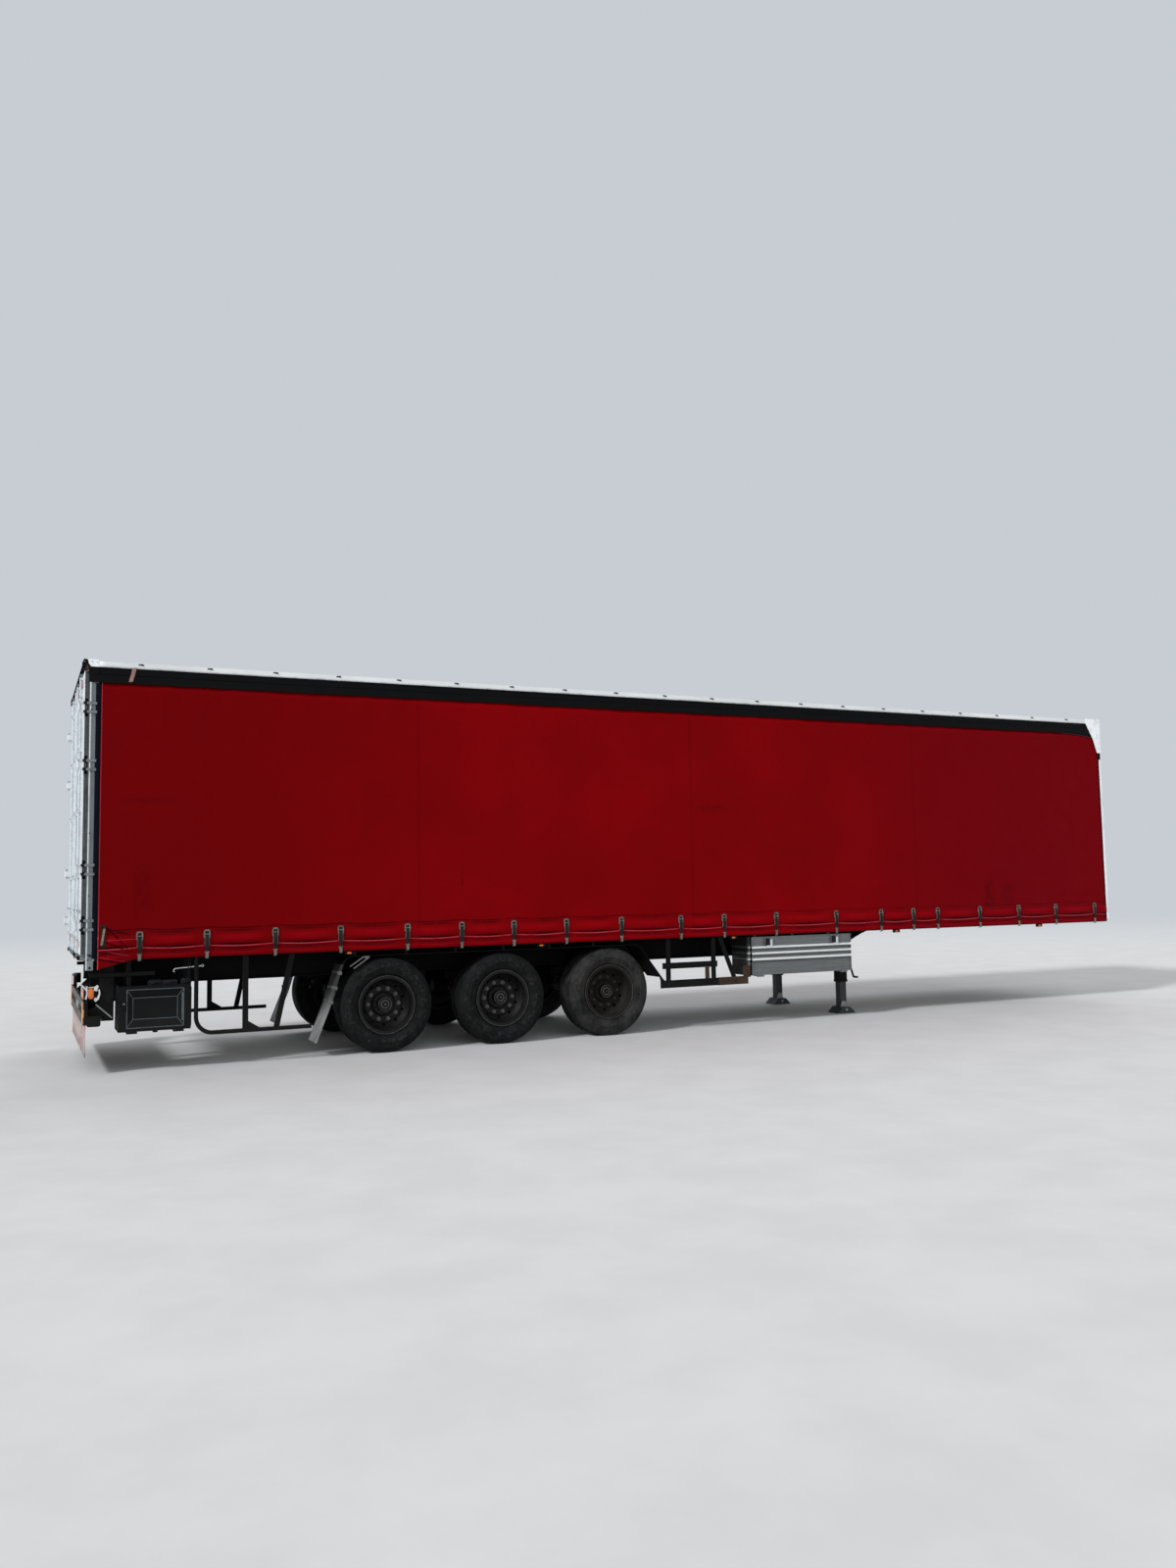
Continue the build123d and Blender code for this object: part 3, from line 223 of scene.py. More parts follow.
def coated(name, base, vary, scale, grime, dust, dust_top, rust, rough, fine, depth, metal=0.0, spec=0.3,
           coat=0.0, streak=0.0):
    """Painted, moulded or bare surface with variation, grime, road dust, streaks and rust."""
    m = Mat(name, metal, spec, coat)
    base = lin(*base)
    broad = m.noise(scale)
    small = m.noise(fine, 3)
    colour = m.mix(m.span(broad, 0.32, 0.68), shade(base, 1 - vary), shade(base, 1 + vary))
    colour = m.tint(colour, GRIME, m.patch(0.48, 0.72, scale * 2.3, 7, 0.7), grime)
    if streak:
        colour = m.tint(colour, GRIME, m.patch(0.5, 0.75, 5, 6, 0.7, (3.5, 3.5, 0.16)), streak)
    if dust:
        low = m.span(m.axis("Z"), dust_top, 0.0)
        colour = m.tint(colour, DUST, low, m.patch(0.3, 0.7, 7, 6, 0.7, onto=(0.35, 1.0)), dust)
    roughness = m.span(broad, 0.3, 0.7, *rough)
    height = small
    if rust:
        spots = m.patch(0.74 - 0.34 * rust, 0.8 - 0.3 * rust, scale * 5, 9, 0.75, None, 0.4)
        colour = m.mix(spots, colour, m.mix(small, RUST_DARK, RUST))
        roughness = m.most(roughness, m.times(spots, 0.85))
        height = m.plus(small, m.times(spots, 0.8))
    m.finish(colour, roughness, height, 0.35, depth)


def curtain_material(name, side):
    """Deep red coated tarpaulin with its welded seams, pocket lines, dirt and creases; painted shade darkens
    both ends, and painted shade and highlights mark the folds and creases.
    """
    m = Mat(f"curtain_red_{name}", 0, 0.03)
    base = lin(120, 0, 5)
    x, z = m.axis("X"), m.axis("Z")
    colour = m.mix(m.patch(0.3, 0.7, 0.7, 4), shade(base, 0.9), shade(base, 1.12))
    # Painted shade: darker towards the rear end and towards the front end
    colour = m.mix(m.span(x, at(4.5), at(0.8), 0, 0.9), colour, shade(base, 0.76))
    colour = m.mix(m.span(x, at(7.5), at(12.0), 0, 0.8), colour, lin(107, 0, 10))
    colour = m.tint(colour, lin(48, 4, 8), m.patch(0.55, 0.85, 3.5, 8, 0.72, (1, 1, 0.55)), 0.2)
    for seam in (3.35, 6.75, 10.15):
        colour = m.tint(colour, lin(60, 2, 8), m.near("X", at(seam), 0.018, 0.004), 0.16)
    road = m.patch(0.52, 0.8, 6, 7, 0.7, (0.4, 1, 1))
    colour = m.tint(colour, lin(62, 20, 22), m.span(z, 1.75, 1.05), road, 0.25)
    free = m.node("ShaderNodeAttribute", attribute_name="free").outputs["Fac"]
    drop = m.plus(z, m.times(free, 0.013))
    ahead = m.span(x, at(4.0), at(10.0), 1.0, 0.25)
    # Breakup noise for the painted shade and highlights of the folds below
    worn = m.patch(0.32, 0.52, 9, 4, 0.6, (1, 1, 0.05), onto=(0.45, 1.0))
    # Folds and welds, with painted shade in their dark lines and painted highlights in their light ones:
    # height, half width, soft edge, share, colour, fading at the buckles, fading ahead
    for height, half, soft, share, tone, between, fades in (
            (1.372, 0.004, 0.004, 0.7, (40, 0, 6), 0, True), (1.345, 0.004, 0.012, 0.7, (50, 0, 5), 1, True),
            (1.272, 0.02, 0.024, 0.4, (150, 0, 16), 1, False),
            (1.205, 0.006, 0.01, 0.85, (30, 0, 5), 0.6, False),
            (1.191, 0.0025, 0.003, 0.7, (186, 74, 82), 0, False),
            (1.158, 0.014, 0.012, 0.6, (58, 0, 8), 0.6, False),
            (1.114, 0.01, 0.01, 0.35, (146, 0, 15), 1, False),
            (1.089, 0.002, 0.003, 0.5, (40, 0, 6), 0, False)):
        line = m.span(m.away(drop, height), half + soft, half)
        here = m.plus(m.times(free, between), 1 - between)
        if fades:
            here = m.times(here, ahead)
        colour = m.tint(colour, lin(*tone), line, worn, here, share)
    if side < 0:
        # Stains: place, height, width, tallness, share
        for place, high, wide, tall, share in ((11.4, 1.5, 0.1, 0.2, 0.55), (11.73, 1.51, 0.15, 0.14, 0.3),
                                               (7.05, 2.62, 0.22, 0.05, 0.3), (3.84, 1.83, 0.02, 0.12, 0.4),
                                               (0.55, 1.75, 0.1, 0.3, 0.25), (0.6, 2.62, 0.3, 0.03, 0.25)):
            colour = m.tint(colour, lin(38, 3, 8), m.near("X", at(place), wide * 0.5, wide * 0.6),
                            m.near("Z", high, tall * 0.5, tall * 0.6), m.patch(0.38, 0.6, 18, 5, 0.7), share)
        # Painted shade along the creases and painted highlights along the glints
        for lines, half, soft, share, tone in ((CREASES, 0.0025, 0.01, 0.7, (44, 0, 6)),
                                               (GLINTS, 0.0015, 0.005, 0.5, (176, 50, 62))):
            for start, end in lines:
                colour = m.tint(colour, lin(*tone), m.stroke(start, end, half, soft), share)
    colour = m.tint(colour, lin(204, 62, 72), m.near("X", at(0.1545), 0.0045, 0.001), 0.85)
    height = m.plus(m.times(m.weave(1500, "X", "Z"), 0.05), m.times(m.noise(14, 4, 0.6, (1, 1, 0.7)), 1.6))
    m.finish(colour, m.patch(0.3, 0.7, 5, 4, onto=(0.5, 0.65)), height, 0.25, 0.004)


def roof_material():
    """Pale tarpaulin with stains and a darker, blotchy skirt."""
    m = Mat("roof_tarpaulin", 0, 0.4)
    base = lin(226, 230, 232)
    colour = m.mix(m.patch(0.35, 0.7, 1.3), base, shade(base, 0.86))
    colour = m.tint(colour, lin(120, 116, 108), m.patch(0.55, 0.8, 4, 7, 0.7, (0.3, 1, 1)), 0.35)
    # Darker and blotchy down the skirt
    skirt = m.span(m.axis("Z"), 3.945, 3.922)
    colour = m.tint(colour, lin(96, 92, 88), skirt, m.patch(0.4, 0.7, 9, 6, 0.7, onto=(0.1, 0.55)))
    height = m.plus(m.times(m.weave(1200, "X", "Y"), 0.05), m.noise(12, 4))
    m.finish(colour, m.patch(0.3, 0.7, 4, onto=(0.45, 0.65)), height, 0.25, 0.003)


def tyre_material():
    """Worn road tyre: dusty sidewall, scuffed shoulder and a dustier third axle."""
    m = Mat("tyre_rubber", 0, 0.08)
    base = lin(20, 21, 22)
    colour = m.mix(m.patch(0.35, 0.7, 6, 6, 0.7), shade(base, 0.75), shade(base, 1.35))
    colour = m.tint(colour, lin(64, 62, 58), m.patch(0.45, 0.75, 11, 8, 0.75, None, 0.3), 0.22)
    outer = m.span(m.away(m.axis("Y")), 1.235, 1.262)
    colour = m.tint(colour, lin(92, 91, 87), outer, m.patch(0.5, 0.75, 26, 6, 0.7), 0.35)
    third = m.span(m.axis("X"), at(4.8), at(5.1))
    colour = m.tint(colour, lin(72, 72, 70), third, m.patch(0.35, 0.62, 5, 6, 0.7, onto=(0.1, 1.0)), 0.4)
    height = m.plus(m.noise(260, 3), m.times(m.noise(30, 5), 0.8))
    m.finish(colour, m.patch(0.3, 0.7, 8, onto=(0.62, 0.85)), height, 0.35, 0.0012)


def hinge_material():
    """Hinges: worn black in the gap, painted like the leaf and the post where they lie on them."""
    m = Mat("hinge_paint", 0.1, 0.15)
    x = m.axis("X")
    colour = m.mix(m.span(x, at(0.018), at(0.024)), lin(16, 17, 18), lin(118, 126, 129))
    strap = m.times(m.span(x, at(-0.001), at(-0.004)), m.span(m.away(m.axis("Y")), 1.238, 1.23))
    colour = m.mix(m.most(m.span(x, at(-0.01), at(-0.014)), strap), colour, lin(202, 208, 212))
    colour = m.mix(m.patch(0.5, 0.72, 30, 7, 0.7), colour, lin(52, 48, 44))
    m.finish(colour, m.patch(0.3, 0.7, 12, onto=(0.4, 0.6)), m.noise(260, 3), 0.35, 0.0005)


def deck_material():
    """Coated plywood floor with its planks, scratches and wear."""
    m = Mat("deck_plywood", 0, 0.35)
    colour = m.mix(m.patch(0.35, 0.65, 3, 8, 0.65, (0.35, 9, 9), 0.4), lin(92, 66, 44), lin(134, 102, 70))
    plank = m.span(m.away(m.math("SINE", m.times(m.axis("Y"), math.pi / 0.305))), 0.03, 0.0)
    colour = m.mix(plank, colour, lin(30, 24, 18))
    worn = m.patch(0.5, 0.75, 4, 8, 0.75, (0.3, 1.5, 1))
    colour = m.tint(colour, lin(104, 98, 90), worn, 0.5)
    height = m.math("SUBTRACT", m.noise(60, 4, 0.6, (0.2, 2, 1)), plank)
    m.finish(colour, m.span(worn, 0, 1, 0.5, 0.75), height, 0.4, 0.002)


def locker_material():
    """Rolled aluminium, brushed along the length, dull and dented, with painted highlights on its ribs, painted
    shade below them and painted shade over the body inwards of the door.
    """
    m = Mat("locker_aluminium", 0.45, 0.4)
    brush = m.noise(30, 4, 0.6, (0.04, 1, 6))
    colour = m.mix(m.span(brush, 0.3, 0.7), lin(94, 97, 98), lin(122, 125, 126))
    colour = m.tint(colour, lin(92, 90, 86), m.patch(0.46, 0.75, 5, 8, 0.75), 0.45)
    # Painted highlights along the ribs and painted shade in the hollows below them
    ribs = m.most(*(m.near("Z", z, half, 0.005) for z, half in ((0.926, 0.009), (0.854, 0.009), (0.782, 0.01))))
    groove_shade = m.most(*(m.near("Z", z, 0.006, 0.004) for z in (0.902, 0.83, 0.758)))
    colour = m.tint(colour, lin(244, 246, 246), ribs, 0.9)
    colour = m.tint(colour, lin(62, 64, 66), groove_shade, 0.6)
    # Painted shade over the body inwards of the door
    colour = m.tint(colour, lin(24, 25, 26), m.span(m.away(m.axis("Y")), 1.165, 1.125), 0.85)
    height = m.plus(m.times(brush, 0.12), m.times(m.noise(6, 3, 0.5, (1, 1, 1.6)), 2.4))
    m.finish(colour, m.patch(0.3, 0.7, 9, onto=(0.38, 0.55)), height, 0.5, 0.01)


def lens(name, base):
    """Moulded lamp lens with fine ribs under a clear coat."""
    m = Mat(name, 0, 0.5, 0.5)
    colour = m.mix(m.patch(0.35, 0.7, 30), shade(base, 0.85), shade(base, 1.1))
    colour = m.tint(colour, GRIME, m.patch(0.45, 0.75, 14, 6, 0.7), 0.25)
    m.finish(colour, m.patch(0.3, 0.7, 20, onto=(0.18, 0.35)), m.weave(900, "Z", "Y"), 0.3, 0.0012)


def apron_material():
    """Faded pale rubber apron with blotches of old red paint and no lettering."""
    m = Mat("faded_rubber", 0, 0.35)
    colour = m.mix(m.patch(0.35, 0.7, 3, 5), lin(150, 140, 138), lin(192, 180, 176))
    colour = m.tint(colour, lin(166, 84, 86), m.patch(0.5, 0.62, 6, 5, 0.6, (1, 0.8, 1.3), 0.5), 0.75)
    colour = m.tint(colour, lin(92, 86, 82), m.span(m.axis("Z"), 0.34, 0.16), m.patch(0.35, 0.7, 12, 6, 0.7))
    m.finish(colour, m.patch(0.3, 0.7, 9, onto=(0.6, 0.8)), m.noise(90, 4), 0.4, 0.0015)


def flap_material():
    """Mud flap: pale grey rubber, with painted shade that darkens it towards its upper end."""
    m = Mat("flap_rubber", 0, 0.15)
    # Painted shade: darker towards the top
    colour = m.mix(m.span(m.axis("Z"), 0.72, 0.34), lin(48, 49, 50), lin(132, 134, 134))
    colour = m.tint(colour, lin(78, 78, 76), m.patch(0.4, 0.7, 9, 7, 0.7), 0.35)
    m.finish(colour, m.patch(0.3, 0.7, 9, onto=(0.6, 0.85)), m.noise(160, 4), 0.4, 0.0008)


def board_material():
    """Rear board: dull grey paint, scraped and streaked, black behind."""
    m = Mat("board_paint", 0, 0.1)
    colour = m.mix(m.patch(0.35, 0.7, 3), lin(82, 80, 79), lin(106, 104, 101))
    colour = m.tint(colour, lin(128, 124, 118), m.patch(0.56, 0.72, 8, 7, 0.75, (1, 0.25, 3)), 0.6)
    colour = m.mix(m.patch(0.62, 0.7, 16, 8, 0.75), colour, RUST)
    colour = m.tint(colour, lin(9, 9, 10), m.span(m.axis("X"), at(0.034), at(0.04)), 0.96)
    m.finish(colour, m.patch(0.3, 0.7, 9, onto=(0.5, 0.7)), m.noise(120, 4), 0.35, 0.001)


def stripe_material(name, first, second, pitch):
    """Reflective tape in two colours, in blocks across and upwards."""
    m = Mat(name, 0, 0.5)
    wave = m.math("SINE", m.times(m.plus(m.axis("Y"), m.axis("Z")), math.pi / pitch))
    colour = m.mix(m.math("GREATER_THAN", wave, 0.0), first, second)
    colour = m.tint(colour, GRIME, m.patch(0.45, 0.75, 22, 6, 0.7), 0.35)
    m.finish(colour, m.patch(0.3, 0.7, 20, onto=(0.3, 0.5)), m.noise(500, 2), 0.2, 0.0006)


# Coats: name, colour, variation, its scale, grime, dust, its top, rust, roughness, fine scale, bump depth,
# and where they are not 0, 0.3, 0 and 0: metal, specular, clear coat, streaks
COATS = (
    ("chassis_black", (10, 10, 11), 0.25, 3, 0.2, 0.16, 1.1, 0.14, (0.5, 0.75), 220, 0.0005, 0, 0.08),
    ("frame_black", (9, 9, 10), 0.25, 3, 0.2, 0.12, 1.1, 0.08, (0.45, 0.65), 220, 0.0005, 0, 0.1),
    ("rail_black", (6, 6, 7), 0.2, 2, 0.15, 0, 1, 0.02, (0.4, 0.55), 300, 0.0003, 0, 0.08),
    ("lever_black", (17, 18, 19), 0.25, 14, 0.2, 0, 1, 0.14, (0.35, 0.6), 400, 0.0004, 0.1, 0.25),
    ("rim_black", (9, 9, 10), 0.25, 8, 0.2, 0.08, 1.3, 0.06, (0.4, 0.6), 240, 0.0005, 0, 0.2),
    ("rubber_black", (14, 14, 14), 0.15, 10, 0.2, 0.12, 1.2, 0, (0.7, 0.9), 240, 0.0006, 0, 0.04),
    ("plastic_black", (10, 12, 13), 0.15, 7, 0.15, 0.1, 0.9, 0, (0.45, 0.62), 420, 0.0008, 0, 0.12),
    ("plastic_worn", (80, 88, 91), 0.2, 20, 0.2, 0, 1, 0, (0.4, 0.6), 420, 0.0006),
    ("webbing_dark", (30, 32, 34), 0.25, 22, 0.3, 0, 1, 0, (0.75, 0.95), 600, 0.0008, 0, 0.15),
    ("strip_navy", (16, 17, 27), 0.15, 4, 0.15, 0, 1, 0, (0.6, 0.8), 260, 0.0004, 0, 0.03),
    ("seal_grey", (88, 93, 95), 0.2, 6, 0.3, 0, 1, 0, (0.65, 0.85), 260, 0.0005, 0, 0.04),
    ("door_white", (221, 227, 231), 0.05, 1.2, 0.22, 0.25, 1.9, 0.05, (0.28, 0.45), 300, 0.0003, 0, 0.3, 0.2,
     0.35),
    ("wall_white", (206, 210, 212), 0.05, 1.2, 0.3, 0.2, 1.9, 0.08, (0.35, 0.5), 300, 0.0003, 0, 0.3, 0, 0.4),
    ("cap_white", (240, 244, 247), 0.05, 3, 0.25, 0, 1, 0.02, (0.35, 0.5), 200, 0.0004, 0, 0.3, 0, 0.2),
    ("casing_white", (208, 210, 212), 0.08, 16, 0.3, 0, 1, 0, (0.3, 0.5), 260, 0.0004),
    ("post_grey", (122, 130, 133), 0.1, 2.2, 0.22, 0.15, 1.9, 0.06, (0.4, 0.58), 300, 0.0003, 0.2, 0.3, 0,
     0.22),
    ("post_edge", (222, 226, 228), 0.08, 3, 0.3, 0, 1, 0.05, (0.3, 0.45), 300, 0.0003, 0.3),
    ("plate_grey", (134, 134, 130), 0.1, 9, 0.3, 0, 1, 0.05, (0.45, 0.65), 300, 0.0003),
    ("rod_pale", (202, 209, 213), 0.08, 14, 0.25, 0.1, 1.9, 0.06, (0.5, 0.7), 300, 0.0004, 0.15, 0.15),
    ("pillar_steel", (150, 153, 155), 0.12, 3, 0.25, 0, 1, 0.08, (0.35, 0.55), 200, 0.0003, 0.7),
    ("zinc_steel", (150, 150, 148), 0.18, 14, 0.35, 0, 1, 0.14, (0.35, 0.6), 400, 0.0004, 0.75),
    ("bright_steel", (196, 198, 198), 0.08, 20, 0.2, 0, 1, 0.05, (0.25, 0.4), 300, 0.0003, 0.8),
    ("coupler_steel", (60, 58, 56), 0.2, 4, 0.5, 0, 1, 0.35, (0.35, 0.6), 200, 0.0006, 0.6),
    ("leg_steel", (58, 60, 62), 0.2, 8, 0.35, 0.15, 0.5, 0.3, (0.45, 0.7), 300, 0.0005, 0.3, 0.3),
    ("nut_steel", (104, 104, 102), 0.2, 24, 0.45, 0, 1, 0.15, (0.55, 0.75), 300, 0.0004, 0.4, 0.2),
    ("buckle_dark", (112, 108, 100), 0.3, 22, 0.45, 0, 1, 0.22, (0.4, 0.65), 400, 0.0005, 0.35, 0.3),
    ("lip_worn", (96, 96, 94), 0.35, 9, 0.6, 0, 1, 0.15, (0.35, 0.6), 240, 0.0005, 0.6),
    ("tan_steel", (140, 126, 108), 0.15, 20, 0.4, 0, 1, 0.3, (0.5, 0.7), 300, 0.0005, 0.4),
    ("hook_pink", (150, 116, 112), 0.2, 25, 0.4, 0, 1, 0.35, (0.5, 0.7), 300, 0.0005, 0.3),
    ("rim_rusty", (22, 19, 17), 0.3, 9, 0.25, 0.1, 1.3, 0.3, (0.6, 0.85), 240, 0.0008, 0, 0.15),
    ("nut_rusty", (64, 52, 44), 0.3, 24, 0.5, 0, 1, 0.4, (0.5, 0.8), 300, 0.0006, 0.3),
    ("rusty_steel", (66, 48, 36), 0.3, 9, 0.3, 0, 1, 0.6, (0.7, 0.9), 260, 0.001, 0.1),
    ("corner_brown", (58, 42, 34), 0.3, 14, 0.3, 0, 1, 0.45, (0.55, 0.8), 260, 0.0006),
    ("plank_brown", (56, 40, 28), 0.3, 7, 0.4, 0.1, 1, 0.25, (0.7, 0.9), 160, 0.0015),
    ("coupling_red", (168, 22, 20), 0.12, 18, 0.3, 0, 1, 0.05, (0.35, 0.55), 260, 0.0004),
    ("coupling_yellow", (214, 168, 26), 0.12, 18, 0.3, 0, 1, 0.05, (0.35, 0.55), 260, 0.0004),
    ("marker_orange", (222, 150, 98), 0.08, 18, 0.3, 0, 1, 0, (0.35, 0.5), 400, 0.0003),
)
for row in COATS:
    coated(*row)
for row in NAMED_SIDES:
    curtain_material(*row)
for make in (roof_material, tyre_material, hinge_material, deck_material, locker_material, apron_material,
             flap_material, board_material):
    make()
lens("lens_amber", lin(206, 104, 16))
lens("lens_red", lin(158, 10, 10))
lens("lens_clear", lin(206, 208, 206))
stripe_material("marker_yellow", lin(232, 170, 70), lin(226, 160, 66), 0.9)
stripe_material("tape_red_white", lin(176, 22, 26), lin(222, 222, 220), 0.15)
NODE_LOOKS = {
    "chassis_black": "main_beams cross_members axles hangers trailing_arms leg_housings air_tanks",
    "frame_black": "side_raves side_guards", "deck_plywood": "floor_deck", "coupler_steel": "coupler_plate",
    "zinc_steel": "kingpin", "wall_white": "front_posts front_wall", "cap_white": "front_corner_caps",
    "rail_black": "cant_rails", "pillar_steel": "side_pillars roof_bows",
    "post_grey": "rear_posts rear_header rear_sill", "hinge_paint": "door_hinges",
    "door_white": "rear_door_left rear_door_right", "rod_pale": "lock_rods_left lock_rods_right",
    "board_paint": "rear_board", "faded_rubber": "rear_flap", "flap_rubber": "mud_flaps",
    "plastic_black": "lamps mudguards toolbox toolbox_lid", "rubber_black": "air_springs",
    "leg_steel": "leg_feet",
    "locker_aluminium": "locker locker_door", "rim_black": "rim_1_left rim_1_right rim_2_left rim_2_right",
    "rim_rusty": "rim_3_left rim_3_right",
}
for look, names in NODE_LOOKS.items():
    for name in names.split():
        obj = nodes[name]
        if not obj.material_slots:
            obj.data.materials.append(LOOKS[look])
        for spot in obj.material_slots:
            spot.material = LOOKS[look]


# Shapes
def ring_profile(along, radius, thick):
    """Round section of a ring, as distances along its way and radii."""
    return [(along + thick * math.cos(a), radius + thick * math.sin(a)) for a in turns(8)]


def strip(place, half, out, thick, height, tilt=0.0):
    """Four corners across a flat bar, its outer face first."""
    low, high = (place - half, height), (place + half, height + tilt)
    return [(d, y, z) for y, ends in ((out, (low, high)), (out - thick, (high, low))) for d, z in ends]


class Shape:
    """Points and faces for one piece, drawn on one side at a time; a kind is the number of a material."""

    def __init__(self, side=1):
        self.side = side
        self.points, self.faces, self.kinds = [], [], []

    def spot(self, point):
        return Vector((at(point[0]), self.side * point[1], point[2]))

    def facing(self, way):
        return Vector((way[0], self.side * way[1], way[2])).normalized()

    def skin(self, rings, kind=0, caps=True):
        """Faces between rings of equal length: with caps at the ends, or on to the first ring again."""
        start, count, last = len(self.points), len(rings[0]), len(rings) - 1
        self.points += [point for ring in rings for point in ring]
        faces = []
        for r in range(last if caps else last + 1):
            a, b = start + r * count, start + (r + 1) % (last + 1) * count
            faces += [(a + i, a + (i + 1) % count, b + (i + 1) % count, b + i) for i in range(count)]
        if caps:
            end = start + last * count
            faces += [range(start, start + count), range(end + count - 1, end - 1, -1)]
        self.faces += faces
        self.kinds += [kind] * len(faces)

    def sheet(self, lines):
        """Open skin between lines of points."""
        rows = len(lines[0])
        self.points += [self.spot(point) for line in lines for point in line]
        self.faces += [(a, a + 1, a + rows + 1, a + rows) for c in range(len(lines) - 1)
                       for a in range(c * rows, c * rows + rows - 1)]
        self.kinds += [0] * len(self.faces)

    def loft(self, rings, kind=0):
        self.skin([[self.spot(point) for point in ring] for ring in rings], kind)

    def prism(self, outline, low, high, axis=2, kind=0):
        """Outline of two coordinates, place, out or height, drawn out along the third, the axis."""
        self.loft([[(*pair[:axis], level, *pair[axis:]) for pair in outline] for level in (low, high)], kind)

    def plate(self, outline, outs, kind=0):
        """Outline of places and heights, drawn out between two distances from the middle plane."""
        self.prism(outline, *sorted(outs, reverse=self.side < 0), 1, kind)

    def slab(self, places, outs, heights, kind=0):
        (x0, x1), (y0, y1) = places, sorted(outs, reverse=self.side < 0)
        self.prism([(x0, y0), (x1, y0), (x1, y1), (x0, y1)], *heights, 2, kind)

    def slabs(self, rows, kind=0, place=0.0, out=0.0):
        """Slabs from rows of two places, two outs and two heights, counted from a place and an out."""
        for d0, d1, y0, y1, z0, z1 in rows:
            self.slab((place + d0, place + d1), (out + y0, out + y1), (z0, z1), kind)

    def rod(self, path, radius, kind=0, sides=12):
        """Round bar along points."""
        path = [self.spot(p) for p in path]
        rings = []
        across = (path[1] - path[0]).normalized().orthogonal().normalized()
        for i, p in enumerate(path):
            ahead = (path[min(i + 1, len(path) - 1)] - path[max(i - 1, 0)]).normalized()
            across = (across - ahead * across.dot(ahead)).normalized()
            other = ahead.cross(across)
            size = radius[i] if hasattr(radius, "__len__") else radius
            rings.append([p + size * (math.cos(a) * across + math.sin(a) * other) for a in turns(sides)])
        self.skin(rings, kind)

    def turned(self, centre, way, profile, sides):
        """Profile of distances along a way and radii, at each turn round it."""
        centre, way = self.spot(centre), self.facing(way)
        across = way.orthogonal().normalized()
        other = way.cross(across)
        return [[centre + way * along + radius * (math.cos(a) * across + math.sin(a) * other)
                 for along, radius in profile] for a in turns(sides)]

    def lathe(self, centre, way, profile, kind=0, sides=24):
        """Turned solid from an open profile."""
        self.skin([*zip(*self.turned(centre, way, profile, sides))], kind)

    def hoop(self, centre, way, profile, kind=0, sides=32):
        """Turned ring from a closed profile."""
        self.skin(self.turned(centre, way, profile, sides), kind, False)

    def pad(self, centre, way, half, radius, rises, kind=0):
        """Round-cornered plate that faces sideways or lengthways, with an inset at each height."""
        centre, way = self.spot(centre), self.facing(way)
        across = Vector((0, 1, 0)) if abs(way.x) > 0.5 else Vector((1, 0, 0))
        rings = []
        for rise, inset in rises:
            r = max(radius - inset, 0.0004)
            ring = []
            for k, (sx, sz) in enumerate(((1, 1), (-1, 1), (-1, -1), (1, -1))):
                for a in (math.pi / 2 * (k + i / 4) for i in range(5)):
                    ring.append(centre + way * rise + across * (sx * (half[0] - inset - r) + r * math.cos(a))
                                + Vector((0, 0, sz * (half[1] - inset - r) + r * math.sin(a))))
            rings.append(ring)
        self.skin(rings, kind)

    def bolt(self, centre, way, size=0.009, height=0.007, kind=0):
        """Hexagon head on its washer."""
        self.lathe(centre, way, ((0, size * 1.35), (0.0018, size * 1.35)), kind, 14)
        head = ((0.0015, size), (0.0015 + height * 0.8, size), (0.0015 + height, size * 0.82))
        self.lathe(centre, way, head, kind, 6)

    def bolts(self, spots, way, size=0.009, height=0.007, kind=0):
        for centre in spots:
            self.bolt(centre, way, size, height, kind)

    def rivets(self, spots, way, size=0.006, kind=0):
        for centre in spots:
            head = ((0, size), (size * 0.35, size * 0.9), (size * 0.6, size * 0.45))
            self.lathe(centre, way, head, kind, 10)


def piece(shape, name, looks, bevel=0.0, angle=35, body="chassis", replaces=None, flat=False):
    """Mesh object from a shape, with rounded edges, riding on a body."""
    mesh = bpy.data.meshes.new(name)
    mesh.from_pydata(shape.points, [], shape.faces)
    for look in looks.split():
        mesh.materials.append(LOOKS[look])
    mesh.polygons.foreach_set("material_index", shape.kinds)
    work = bmesh.new()
    work.from_mesh(mesh)
    bmesh.ops.recalc_face_normals(work, faces=work.faces)
    work.to_mesh(mesh)
    work.free()
    if not flat:
        mesh.shade_smooth()
        mesh.set_sharp_from_angle(angle=math.radians(angle))
    obj = bpy.data.objects.new(name, mesh)
    scene.collection.objects.link(obj)
    if bevel:
        edge = obj.modifiers.new("edges", "BEVEL")
        edge.width = bevel
        edge.segments = 2
        edge.limit_method = "ANGLE"
        edge.angle_limit = math.radians(40)
    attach(obj, body)
    if replaces:
        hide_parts(replaces)
    return obj


def thicken(obj, thickness):
    cloth = obj.modifiers.new("cloth", "SOLIDIFY")
    cloth.thickness = thickness
    cloth.offset = 0


# Curtains
def span_share(place):
    """How far a place is between its two buckles, from 0 at one to 1 half way between."""
    stops = (CURTAIN_START, *BUCKLES, CURTAIN_END)
    for low, high in zip(stops, stops[1:]):
        if low <= place <= high:
            share = (place - low) / (high - low)
            if low == CURTAIN_START:
                share = 0.5 + share / 2
            if high == CURTAIN_END:
                share = share / 2
            return math.sin(math.pi * share)
    return 0.0


def bell(value, middle, half):
    gap = abs(value - middle) / half
    return (1 - gap * gap) ** 2 if gap < 1 else 0.0


